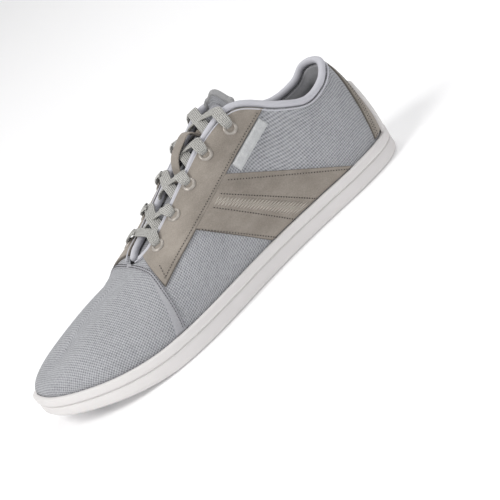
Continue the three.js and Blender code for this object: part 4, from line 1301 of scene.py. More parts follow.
@dataclass
class CupSole:
    """Cup sole with its bead, groove, heel guard, tread and insole."""

    last: Last
    bead_height: float = 5.3
    bead_proud: float = 0.5
    groove_height: float = 1.4
    groove_depth: float = 0.9
    edge_round: float = 3.2
    border: float = 5.5
    guard_height: float = 50.0
    guard_half: float = 21.5
    guard_wall: float = 1.6
    insole: float = 3.0
    row_lines: tuple = (
        5.5, 18, 31, 44, 57, 70, 82.5, 94, 104, 113, 121.5, 130, 139, 149.5, 161, 174, 187, 200, 213,
        226, 239, 252, 264,
    )

    def profile(self, rows: Sequence[tuple], places: np.ndarray) -> np.ndarray:
        """Rings round the outline.

        Args:
            rows: For each ring, its inset, its height, and whether that is measured down from the rim.
            places: Places round the sole.

        Returns:
            A grid with one row for each ring.
        """
        x = self.last.outline(places, 0.0)[:, 0]
        grid = []
        for inset, height, under_rim in rows:
            flat = self.last.outline(places, inset)
            z = self.last.rim(x) - height if under_rim else np.full_like(x, height)
            grid.append(np.column_stack([flat, z + self.last.spring(x)]))
        return np.array(grid)

    @staticmethod
    def corner(start: tuple, end: tuple, bulge: float = 1.0, steps: int = 6) -> list:
        """Round between two rows of a profile, out first and then up when bulge is positive.

        Args:
            start: The first row.
            end: The last row.
            bulge: Its sign says which way the round bends.
            steps: Number of straight stretches in it.

        Returns:
            The rows between both.
        """
        made = []
        for i in range(1, steps):
            angle = math.pi / 2 * i / steps
            across, up = math.sin(angle), 1 - math.cos(angle)
            if bulge < 0:
                across, up = up, across
            made.append((
                start[0] + (end[0] - start[0]) * across,
                start[1] + (end[1] - start[1]) * up,
                end[2],
            ))
        return made

    def lens(self, places: int, rungs: int, inset: float, height: Callable) -> np.ndarray:
        """Cap across the sole by rungs from its outer to its inner side.

        Args:
            places: Number of rungs.
            rungs: Number of points on a rung.
            inset: How far inside the outline it ends.
            height: Its height for a point and a share of a rung.

        Returns:
            A grid with one row for each rung.
        """
        sections = np.linspace(0, self.last.toe, places)
        outer = self.last.outline(sections, inset)
        inner = self.last.outline(self.last.ring - sections, inset)
        share = np.linspace(0, 1, rungs)[None, :, None]
        flat = outer[:, None] * (1 - share) + inner[:, None] * share
        outer_x = self.last.outline(sections, 0.0)[:, 0]
        z = height(flat, share[..., 0]) + self.last.spring(outer_x)[:, None]
        return np.concatenate([flat, z[..., None]], -1)

    @staticmethod
    def level(height: float) -> Callable:
        """Height function of a level cap."""
        return lambda flat, share: np.full(flat.shape[:2], height)

    def build_cup(self) -> None:
        """Makes the side wall, bead, groove, rounded tread edge, cup floor and recessed base."""
        groove = self.bead_height + self.groove_height
        places = self.last.places(24)
        floor = self.last.sole.cup_floor
        wall = self.last.sole.rim_wall
        tread = self.last.sole.tread
        outer_start = (self.edge_round, 0.0, False)
        outer_end = (0.0, self.edge_round, False)
        proud = -self.bead_proud
        rows = [
            (self.edge_round + self.border + 0.5, tread, False),
            (self.edge_round + self.border, 0.25, False),
            (self.edge_round + self.border - 0.3, 0.0, False),
            outer_start,
            *self.corner(outer_start, outer_end),
            outer_end,
            (0.0, groove + 0.35, True),
            (0.12, groove, True),
            (self.groove_depth * 0.75, groove - 0.25, True),
            (self.groove_depth, groove - 0.55, True),
            (self.groove_depth * 0.7, groove - 0.95, True),
            (0.15, groove - 1.15, True),
            (proud * 0.6, groove - 1.4, True),
            (proud, self.bead_height - 0.8, True),
            (proud, 1.1, True),
            (proud + 0.25, 0.45, True),
            (proud + 0.7, 0.1, True),
            (proud + 1.2, 0.0, True),
            (wall - 0.5, 0.0, True),
            (wall - 0.1, 0.15, True),
            (wall, 0.6, True),
            (wall, floor, False),
        ]
        skin = Skin()
        grid = self.profile(rows, places)
        skin.add_grid(grid, (False, True))
        under = self.edge_round + self.border + 0.5
        skin.add_grid(self.lens(337, 25, under, self.level(tread)))
        skin.add_grid(self.lens(337, 25, wall, self.level(floor)))
        skin.piece("cup_sole", SOLE, ["outsole"], merge=2e-6, sharp=60)

    def guard_half_at(self, z: np.ndarray) -> np.ndarray:
        """Half width of the heel guard at a height.

        Args:
            z: Heights over the ground.

        Returns:
            One half width for each.
        """
        share = np.clip((z - 15.5) / (self.guard_height - 15.5), 0, 1)
        shape = [1.0, 0.93, 0.875, 0.83, 0.79, 0.745, 0.66, 0.42]
        at = [0.0, 0.15, 0.32, 0.5, 0.68, 0.84, 0.95, 1.0]
        return self.guard_half * np.interp(share, at, shape)

    def build_guard(self) -> None:
        """Makes the pale guard that rises over the back of the heel."""
        z = np.concatenate([np.linspace(10.5, 40, 24), np.linspace(41, self.guard_height, 22)])
        across = spread(44, 30) * 2 - 1
        sideways = self.guard_half_at(z)[:, None] * across
        target = np.stack([sideways, np.repeat(z[:, None], len(across), 1)], -1)
        place, share = self.last.find(0, target, (1, 2))
        base, normal = self.last.wall(place, share), self.last.normal(place, share)
        down = np.minimum(z - 15.9, 0)[:, None]
        base[..., 2] = np.where(down < 0, z[:, None], base[..., 2])
        run_up, run_across = run_length(base, 0), run_length(base, 1)
        border = np.minimum(run_up[-1] - run_up, np.minimum(run_across, run_across[:, -1:] - run_across))
        lift = round_lift(border, 1.3)
        outer = base + normal * (1.3 + (self.guard_wall + 0.4) * lift)[..., None]
        inner = base + normal * 1.2
        skin = Skin()
        skin.add_shell(outer, inner)
        skin.piece("heel_guard", SOLE)

    def build_insole(self) -> None:
        """Makes the sock that lies in the cup, a little dished at the heel."""
        inset = self.last.sole.rim_wall + self.last.walls.gap * 2 + self.last.walls.cloth
        low = self.last.sole.cup_floor + self.last.walls.gap
        high = low + self.insole
        rows = [(inset + 0.7, low, False), (inset, low + 0.7, False), (inset, high - 0.7, False)]
        rows += self.corner((inset, high - 0.7), (inset + 0.7, high, False), -1.0)
        rows.append((inset + 0.7, high, False))
        skin = Skin()
        skin.add_grid(self.profile(rows, self.last.places(12)), (False, True))

        def dish(flat: np.ndarray, share: np.ndarray) -> np.ndarray:
            """Height of the sock over the cup, lower in the middle of the heel."""
            bowl = np.sin(np.pi * share) ** 0.8 * hump(flat[..., 0], 35, 45)
            return high - 0.9 * bowl

        skin.add_grid(self.lens(169, 25, inset + 0.7, dish))
        skin.add_grid(self.lens(169, 5, inset + 0.7, self.level(low)))
        skin.piece("insole_sock", INSOLE, ["insole"], merge=2e-6)

    def lug(self) -> bpy.types.Object:
        """One three-sided lug with a small dimple, a unit wide and a unit high."""
        mesh = bpy.data.meshes.new("lug")
        angles = (math.pi / 2, math.pi * 7 / 6, -math.pi / 6)
        corners = [Vector((math.cos(a), math.sin(a), 0)) for a in angles]
        rings = [(1.0, 0.0), (0.86, -1.0), (0.46, -1.0), (0.3, -0.55)]
        points = [tuple(c * size + Vector((0, 0, z))) for size, z in rings for c in corners]
        faces = []
        for r in range(3):
            for k in range(3):
                a, b = 3 * r + k, 3 * r + (k + 1) % 3
                faces.append((a, b, b + 3, a + 3))
        faces += [(9, 10, 11), (2, 1, 0)]
        mesh.from_pydata(points, [], faces)
        return bpy.data.objects.new("lug", mesh)

    @staticmethod
    def tread_tree() -> tuple[bpy.types.NodeTree, dict[str, str]]:
        """Node tree that sets one lug on each point.

        Returns:
            The tree, and the identifiers of its inputs by name.
        """
        inputs = (("Points", "Geometry"), ("Lug", "Object"), ("Height", "Float"), ("Rubber", "Material"))
        bench, sockets, (points, lug, height, rubber) = open_tree("tread_lugs", inputs)
        shape = bench.node("GeometryNodeObjectInfo", None, {"Object": lug}, "Geometry")
        turn = bench.node("FunctionNodeEulerToRotation", None, {0: bench.named("turn", "FLOAT_VECTOR")})
        width = bench.named("width")
        size = bench.node("ShaderNodeCombineXYZ", None, {0: width, 1: width, 2: height})
        lay_out(bench, points, shape, turn, size, rubber)
        return bench.tree, sockets

    def build_tread(self) -> None:
        """Makes bands of three-sided lugs that point forward and back in turn."""
        ring = self.last.outline(np.linspace(0, 28, 700), self.edge_round + self.border + 1.6)
        points, turns, widths = [], [], []
        tread = self.last.sole.tread
        for low, high in zip(self.row_lines[:-1], self.row_lines[1:]):
            depth = high - low - 1.5
            radius = depth / 1.5
            step = radius * 0.98
            count = int(60 // step)
            for i in range(-count, count + 1):
                up = i % 2 == 0
                x = low + 0.75 + (depth / 3 if up else depth * 2 / 3)
                y = i * step
                half = radius * 0.86
                corners = [(low + 0.8, y - half * up), (low + 0.8, y + half * up)]
                corners += [(high - 0.8, y - half * (not up)), (high - 0.8, y + half * (not up))]
                if not all(self.inside(ring, *corner) for corner in corners):
                    continue
                slope = float(self.last.spring(x + 1) - self.last.spring(x - 1)) / 2
                points.append((x, y, float(self.last.spring(x)) + tread))
                turns.append((0.0, -math.atan(slope), -math.pi / 2 if up else math.pi / 2))
                widths.append(radius * MM)
        mesh = bpy.data.meshes.new("tread")
        mesh.from_pydata(((np.array(points) + SHIFT) * MM).tolist(), [], [])
        write_values(mesh, "turn", turns)
        write_values(mesh, "width", widths)
        tree, sockets = self.tread_tree()
        lug = self.lug()
        values = {"Lug": lug, "Height": tread * MM, "Rubber": TREAD.material()}
        made = grow(bpy.data.objects.new("tread", mesh), tree, sockets, values)
        bpy.data.objects.remove(lug)
        made.data.shade_flat()
        set_piece(made, TREAD)

    @staticmethod
    def inside(ring: np.ndarray, x: float, y: float) -> bool:
        """Whether a point is inside a closed line.

        Args:
            ring: Points of the line.
            x: The point's x.
            y: The point's y.

        Returns:
            True when it is inside.
        """
        a, b = ring, np.roll(ring, -1, 0)
        crosses = (a[:, 1] > y) != (b[:, 1] > y)
        reach = a[:, 0] + (y - a[:, 1]) * (b[:, 0] - a[:, 0]) / np.where(crosses, b[:, 1] - a[:, 1], 1.0)
        return int(np.sum(crosses & (x < reach))) % 2 == 1

    def build(self) -> None:
        """Makes the whole sole."""
        self.build_cup()
        self.build_guard()
        self.build_tread()
        self.build_insole()


@dataclass
class Upper:
    """Canvas upper with its lining, leather panels, tape, tab and knitted roll."""

    last: Last
    sewing: Sewing
    eyestay_back: tuple = (69.5, 80.0)
    eyestay_corner: tuple = (193.6, 41.0)
    stripe_top: tuple = (117.0, 155.5)
    stripe_foot: tuple = (46.0, 120.0)
    stripe_rows: tuple = ((128.6, 79.0), (138.0, 99.5))
    counter_edge: tuple = ((22, 12), (15, 38), (11, 56), (9, 68))
    tape_back: tuple = ((190.4, 54), (190.5, 50), (194.3, 41), (202.5, 14))
    tape_width: tuple = (3.0, 3.0, 5.2, 8.5)
    tab: tuple = (76.0, 109.0, 7.0)
    patch: float = 1.35
    eyestay_lift: float = 0.3
    eyestay_front: float = 184.0
    stripe_tuck: float = 1.4
    stripe_foot_gap: float = 0.4
    stitch_over: float = 0.02
    stitch: tuple = (1.2, 1.9)
    zigzag_pitch: float = 2.3
    zigzag_margin: float = 0.14
    tab_height: float = 2.6
    tab_round: float = 2.3
    roll_end: float = 9.6
    ridge_drop: float = 0.02
    ridge_radius: float = 0.5

    def cloth_relief(self, place: np.ndarray, share: np.ndarray) -> np.ndarray:
        """Soft unevenness of the canvas, in millimetres out of its face.

        Args:
            place: Places round the shoe.
            share: Shares up the wall.

        Returns:
            One height for each place and share.
        """
        section = self.last.section(place)
        side = np.where(np.asarray(place) % 28 <= 14, 1.0, -1.0)
        wave = np.sin(section * 2.3 + side * 0.8 + share * 3.1) * np.sin(share * 5.2 - section * 0.9)
        pull = hump(section, 9.7, 0.35) * hump(share, 0.45, 0.25) * 0.35
        tuck = np.sin(np.asarray(place) * 9.0) * step_between(11.2, 12.5, section) * hump(share, 0.06, 0.1)
        fade = step_between(0.02, 0.12, share)
        return (wave * 0.22 - pull) * fade + tuck * 0.18

    def build_canvas(self) -> None:
        """Makes the canvas wall, with the ridge over the toes rounded off."""
        fineness = 18
        places = self.last.places(fineness)
        shares = np.concatenate([[-1, -0.6, -0.2], np.linspace(0, 1, 54)])
        place, share = np.meshgrid(places, shares)
        base, normal = self.last.wall(place, share), self.last.normal(place, share)
        outer = base + normal * self.cloth_relief(place, share)[..., None]
        outer = self.soften(outer, place, share)
        inner = outer - normal * 0.9
        cloth = self.last.cloth_map(place, np.maximum(share, 0))
        cloth[..., 1] += np.minimum(share, 0) * 10
        skin = Skin()
        closed = (False, True)
        top = skin.add_grid(outer, closed, cloth)
        under = skin.add_grid(inner, closed, cloth)
        skin.join(top[0], under[0], True)
        edge = fineness * self.last.throat
        rim = np.concatenate([top[-1][-edge:], top[-1][: edge + 1]])
        back = np.concatenate([under[-1][-edge:], under[-1][: edge + 1]])
        skin.join(rim, back)
        skin.piece("canvas_upper", CANVAS, ["upper"], merge=2e-6)

    def soften(self, grid: np.ndarray, place: np.ndarray, share: np.ndarray) -> np.ndarray:
        """Rounds off the ridge over the toes by moving points to the mean of their neighbours.

        Args:
            grid: Points of the canvas.
            place: Places round the shoe.
            share: Shares up the wall.

        Returns:
            The moved points.
        """
        section = self.last.section(place)
        weight = step_between(10.6, 11.6, section) * step_between(0.5, 0.8, share)
        count = grid.shape[1]
        half = count // 2
        mirror = (count - np.arange(count)) % count
        for _ in range(40):
            above = np.concatenate([grid[1:], grid[-2:-1][:, mirror]], 0)
            below = np.concatenate([grid[:1], grid[:-1]], 0)
            beside = (np.roll(grid, 1, 1) + np.roll(grid, -1, 1)) / 2
            mean = (above + below) / 4 + beside / 2
            grid = grid + (mean - grid) * weight[..., None] * 0.8
        ridge = (grid[-1] + grid[-1][mirror]) / 2
        seam = (section[-1] >= self.last.throat)[:, None]
        grid[-1] = np.where(seam, ridge, grid[-1])
        return grid

    def build_lining(self) -> None:
        """Makes the padded lining, fuller at the collar, with folds behind the heel."""
        places = self.last.places(12)
        shares = np.concatenate([[-1, -0.5], np.linspace(0, 0.985, 40)])
        place, share = np.meshgrid(places, shares)
        base, normal = self.last.wall(place, share), self.last.normal(place, share)
        section = self.last.section(place)
        collar = (1 - step_between(4.2, 6.5, section)) * step_between(0.35, 0.62, share)
        collar = collar * (1 - step_between(0.86, 0.985, share) * 0.7)
        fold = hump(share, 0.5 + 0.04 * np.sin(place * 3), 0.045) * (1 - step_between(1.8, 3.2, section))
        upper_fold = hump(share, 0.74 + 0.03 * np.cos(place * 4), 0.03)
        fold += 0.6 * upper_fold * (1 - step_between(1.0, 2.2, section))
        depth = self.last.thickness(place, share) + collar * 1.6 - fold * 1.3
        inner = base - normal * depth[..., None]
        outer = base - normal * 1.0
        cloth = self.last.cloth_map(place, np.maximum(share, 0))
        skin = Skin()
        closed = (False, True)
        top = skin.add_grid(outer, closed, cloth)
        under = skin.add_grid(inner, closed, cloth)
        skin.join(top[0], under[0], True)
        skin.join(top[-1], under[-1], True)
        lining = skin.piece("collar_lining", LINING)

    def panel(
        self,
        name: str,
        place: np.ndarray,
        share: np.ndarray,
        finish: Finish,
        stands_for: Iterable[str],
        height: float | None = None,
        lip: float = 0.9,
    ) -> None:
        """Makes a flat piece with rounded edges that lies on the canvas.

        Args:
            name: The piece's name.
            place: Grid of places.
            share: Grid of shares.
            finish: What it is made of.
            stands_for: Nodes that it replaces.
            height: How far it stands out of the canvas.
            lip: Radius of its rounded edge.
        """
        height = self.patch if height is None else height
        base, normal = self.last.wall(place, share), self.last.normal(place, share)
        up, across = run_length(base, 0), run_length(base, 1)
        border = np.minimum(np.minimum(up, up[-1:] - up), np.minimum(across, across[:, -1:] - across))
        lift = round_lift(border, lip)
        low = -0.25
        outer = base + normal * (low + (height - low) * lift)[..., None]
        inner = base + normal * (low - 0.15)
        # Mask that is 1 at the cut edge; the nubuck darkens there, partly raw-edge colour and partly
        # painted shade of the seam gap.
        rim = np.clip(1 - border / 1.2, 0, 1)
        skin = Skin()
        skin.add_shell(outer, inner, self.last.cloth_map(place, share), rim)
        skin.piece(name, finish, stands_for)

    def eyestay_z(self, x: np.ndarray) -> np.ndarray:
        """Height of the eyestay's lower edge at an x."""
        (back, high), (front, low) = self.eyestay_back, self.eyestay_corner
        return high + (low - high) / (front - back) * (np.asarray(x) - back)

    def eyestay_grid(self, side: int) -> tuple[np.ndarray, np.ndarray]:
        """Places and shares of the eyestay, from its lower edge up to the throat.

        Args:
            side: 1 for the outer side, -1 for the inner side.

        Returns:
            A grid of places and one of shares.
        """
        along = spread(130, 90)
        x_low = self.eyestay_back[0] + (self.eyestay_corner[0] - self.eyestay_back[0]) * along
        x_top = self.eyestay_back[0] + (self.eyestay_front - self.eyestay_back[0]) * along
        low_place, low_share = self.last.find(side, np.stack([x_low, self.eyestay_z(x_low)], -1))
        top_place = self.last.edge_place(x_top) * side
        up = spread(22, 16)[:, None]
        place = low_place * (1 - up) + top_place * up
        share = low_share * (1 - up) + up
        return place, share

    def line(self, side: int, x: np.ndarray, z: np.ndarray, height: float) -> tuple[np.ndarray, np.ndarray]:
        """Points over the wall along a line seen from the side, and their outward directions.

        Args:
            side: 1 for the outer side, -1 for the inner side.
            x: The line's x at each point.
            z: Its height at each point.
            height: How far it lies over the wall.

        Returns:
            The points and the directions.
        """
        place, share = self.last.find(side, np.stack([np.asarray(x), np.asarray(z)], -1))
        normal = self.last.normal(place, share)
        return self.last.wall(place, share) + normal * height, normal

    def build_eyestay(self, side: int, word: str) -> None:
        """Makes an eyestay and its row of stitches.

        Args:
            side: 1 for the outer side, -1 for the inner side.
            word: The side's name.
        """
        place, share = self.eyestay_grid(side)
        height = self.patch + self.eyestay_lift
        self.panel(f"eyestay_facing_{word}", place, share, NUBUCK, [f"eyestay_{word}"], height)
        x = np.linspace(self.eyestay_back[0] + 4, self.eyestay_corner[0] - 3.5, 120)
        points, out = self.line(side, x, self.eyestay_z(x) + 2.0, height + self.stitch_over)
        self.sewing.run("seam_stitches", points, out, *self.stitch)
        corner_x, corner_z = self.eyestay_corner
        z = np.linspace(corner_z + 2.0, corner_z + 9.0, 12)
        front = corner_x - 3.5 - (z - corner_z - 2.0) * 0.62
        points, out = self.line(side, front, z, height + self.stitch_over)
        self.sewing.run("seam_stitches", points, out, *self.stitch)

    def stripe_line(self, top_x: float, foot_x: float, count: int, inset: float = 0.4) -> np.ndarray:
        """Points seen from the side, from the eyestay down to the rim.

        Args:
            top_x: x under the eyestay.
            foot_x: x at the rim.
            count: Number of points.
            inset: How far below the eyestay's edge it starts.

        Returns:
            One x and z for each point.
        """
        top_z = float(self.eyestay_z(top_x)) - inset
        foot_z = float(self.last.rim(foot_x)) + self.stripe_foot_gap
        share = np.linspace(0, 1, count)
        return np.stack([top_x + (foot_x - top_x) * share, top_z + (foot_z - top_z) * share], -1)

    def build_stripe(self, side: int, word: str) -> None:
        """Makes the slanting side panel with its stitch rows and zigzag.

        Args:
            side: 1 for the outer side, -1 for the inner side.
            word: The side's name.
        """
        down, across = spread(88, 60), spread(34, 22)
        top_x = self.stripe_top[0] + (self.stripe_top[1] - self.stripe_top[0]) * across
        foot_x = self.stripe_foot[0] + (self.stripe_foot[1] - self.stripe_foot[0]) * across
        top = np.stack([top_x, self.eyestay_z(top_x) + self.stripe_tuck], -1)
        foot = np.stack([foot_x, self.last.rim(foot_x) + self.stripe_foot_gap], -1)
        target = top * (1 - down[:, None, None]) + foot * down[:, None, None]
        place, share = self.last.find(side, target)
        self.panel(f"side_stripe_{word}", place, share, NUBUCK, [f"stripe_{word}"])
        height = self.patch + self.stitch_over
        edges = ((self.stripe_top[0] + 2.2, self.stripe_foot[0] + 3.6),
                 (self.stripe_top[1] - 2.2, self.stripe_foot[1] - 3.0))
        for start, end in edges:
            seen = self.stripe_line(start, end, 90, 1.5)
            points, out = self.line(side, seen[:, 0], seen[:, 1], height)
            self.sewing.run("seam_stitches", points, out, *self.stitch)
        rows = []
        for start, end in self.stripe_rows:
            seen = self.stripe_line(start, end, 260, 1.5)
            rows.append(self.line(side, seen[:, 0], seen[:, 1], height))
            self.sewing.run("seam_stitches", *rows[-1], 1.0, 1.8)
        (upper_row, out), (lower_row, _) = rows
        run = run_length(upper_row, 0)
        count = int(run[-1] // self.zigzag_pitch)
        where = np.linspace(0.02, 0.97, count) * run[-1]
        shares = where / run[-1]
        lower_run = run_length(lower_row, 0)

        def at(values: np.ndarray, run_here: np.ndarray, share_here: np.ndarray) -> np.ndarray:
            """Points of a row at shares of its length."""
            return np.stack([np.interp(share_here * run_here[-1], run_here, c) for c in values.T], axis=1)

        high = at(upper_row, run, shares)
        low = at(lower_row, lower_run, shares)
        edge = self.zigzag_margin
        inner_high, inner_low = high * (1 - edge) + low * edge, high * edge + low * (1 - edge)
        outs = at(out, run, shares)
        self.sewing.stitch("zigzag_stitches", inner_high[:-1], inner_low[:-1], outs[:-1])
        self.sewing.stitch("zigzag_stitches", inner_low[:-1], inner_high[1:], outs[:-1])

    def build_counter(self) -> None:
        """Makes the counter round the back of the heel with its double seam."""
        x_knots, z_knots = np.array(self.counter_edge, float).T
        shares = np.concatenate([[0.012], np.linspace(0.04, 1.0, 46)])

        def x_at(z: np.ndarray, inset: float = 0.0) -> np.ndarray:
            """The counter's front edge at a height."""
            return np.interp(z, z_knots, x_knots) - inset

        outer = self.last.place_on(1, shares, x_at, 0.02, 4.0)
        inner = self.last.place_on(-1, shares, x_at, 0.02, 4.0)
        across = spread(70, 60)[None, :]
        place = inner[:, None] * (1 - across) + outer[:, None] * across
        share = np.repeat(shares[:, None], place.shape[1], 1)
        self.panel("heel_counter_leather", place, share, NUBUCK, ["heel_counter"])
        rows = np.linspace(0.02, 0.93, 90)
        for side in (1, -1):
            for inset in (1.5, 3.3):
                places = self.last.place_on(side, rows, lambda z, i=inset: x_at(z, i), 0.02, 4.0)
                normal = self.last.normal(places, rows)
                points = self.last.wall(places, rows) + normal * (self.patch + self.stitch_over)
                self.sewing.run("seam_stitches", points, normal, *self.stitch)

    def build_tape(self) -> None:
        """Makes the tape over the seam between vamp and quarters."""
        x_knots, z_knots = np.array(self.tape_back[::-1], float).T
        widths = np.array(self.tape_width[::-1])
        shares = np.concatenate([[0.012], np.linspace(0.04, 1.0, 50)])
        across = spread(6, 8, (0.0, 0.12, 0.35, 0.7))

        def half(side: int) -> tuple[np.ndarray, np.ndarray]:
            """Places and shares of the tape on one side."""
            columns = []
            for part in across:
                def x_at(z: np.ndarray, part: float = part) -> np.ndarray:
                    """The tape's line at a height."""
                    return np.interp(z, z_knots, x_knots) + part * np.interp(z, z_knots, widths)
                columns.append(self.last.place_on(side, shares, x_at, 7.5, 12.5))
            place = np.stack(columns, 1)
            return place, np.repeat(shares[:, None], len(across), 1)

        outer_place, outer_share = half(1)
        inner_place, inner_share = half(-1)
        skin = Skin()
        rows = []
        for place, share, flip in ((outer_place, outer_share, False), (inner_place, inner_share, True)):
            base, normal = self.last.wall(place, share), self.last.normal(place, share)
            run = run_length(base, 1)
            border = np.minimum(run, run[:, -1:] - run)
            lift = round_lift(border, 0.6)
            top = base + normal * (-0.2 + 1.0 * lift)[..., None]
            low = base - normal * 0.4
            cloth = self.last.cloth_map(place, share)
            rows.append([g[::-1] if flip else g for g in (top, low, cloth)])
        top, low, cloth = [np.concatenate([a, b[1:]], 0) for a, b in zip(*rows)]
        middle = len(shares) - 1
        for grid in (top, low):
            grid[middle] = (grid[middle - 1] + grid[middle + 1]) / 2
        skin.add_shell(top, low, cloth)
        skin.piece("vamp_seam_tape", TAPE, ["vamp_tape"])
        for side in (1, -1):
            rows_up = np.linspace(0.03, 0.97, 120)
            for inset in (0.9, 2.3):
                places = self.last.place_on(
                    side, rows_up, lambda z, i=inset: np.interp(z, z_knots, x_knots) + i, 7.5, 12.5
                )
                normal = self.last.normal(places, rows_up)
                points = self.last.wall(places, rows_up) + normal * 0.84
                self.sewing.run("grey_stitches", points, normal, 1.3, 1.9)

    def build_tab(self) -> None:
        """Makes the folded blank tab below the outer eyestay's edge."""
        back, front, width = self.tab
        along, down = spread(front - back, 30), spread(width, 10)
        x = back + (front - back) * along
        z = self.eyestay_z(x) - 0.2
        slope = (self.eyestay_z(1.0) - self.eyestay_z(0.0))
        lean = np.array([slope, -1.0]) / math.hypot(slope, 1.0)
        target = np.stack([x, z], -1)[None] + lean * (down * width)[:, None, None]
        place, share = self.last.find(1, target)
        self.panel("side_tab_felt", place, share, TAB, ["side_tab"], self.tab_height, self.tab_round)

    def build_roll(self) -> None:
        """Makes the knitted roll round the collar and throat."""
        places = np.linspace(-self.roll_end, self.roll_end, 460)
        path = self.last.roll(places)
        run = run_length(path, 0)
        flat = np.tile([0.0, 0.0, 1.0], (len(path), 1))
        radius = self.last.walls.roll * (1 + 0.02 * np.sin(run * 0.35) + 0.012 * np.sin(run * 0.9 + 1))
        taper = np.clip(np.minimum(run, run[-1] - run) / 2.0, 0, 1) ** 0.5
        radius = radius * (0.35 + 0.65 * taper)
        rings = tube_rings(path, flat, radius, radius, 20)
        around = np.arange(20) / 20 * 2 * np.pi * self.last.walls.roll
        cloth = tube_map(run, around)
        skin = Skin()
        skin.add_tube(rings, cloth)
        skin.piece("collar_roll", BINDING, ["collar_binding"])
        self.build_ridge()

    def build_ridge(self) -> None:
        """Makes the fine ridge of the binding's lower edge, on the canvas and then on the leather."""
        line = np.linspace(-self.roll_end, self.roll_end, 420)
        share = np.full_like(line, 1 - self.ridge_drop)
        normal = self.last.normal(line, share)
        on_leather = step_between(4.2, 4.5, self.last.section(line))
        low = 0.25
        lift = low + (self.patch + 0.05 - low) * on_leather
        centre = self.last.wall(line, share) + normal * lift[:, None]
        thick = np.full(len(line), self.ridge_radius)
        rings = tube_rings(centre, normal, thick, thick, 8)
        length = run_length(centre, 0)
        around = np.arange(8) * 0.43
        ridge = Skin()
        ridge.add_tube(rings, tube_map(length, around))
        ridge.piece("collar_ridge", BINDING)

    def build(self) -> None:
        """Makes the whole upper."""
        self.build_canvas()
        self.build_lining()
        for side in Side:
            self.build_eyestay(side.value, side.word)
            self.build_stripe(side.value, side.word)
        self.build_counter()
        self.build_tape()
        self.build_tab()
        self.build_roll()


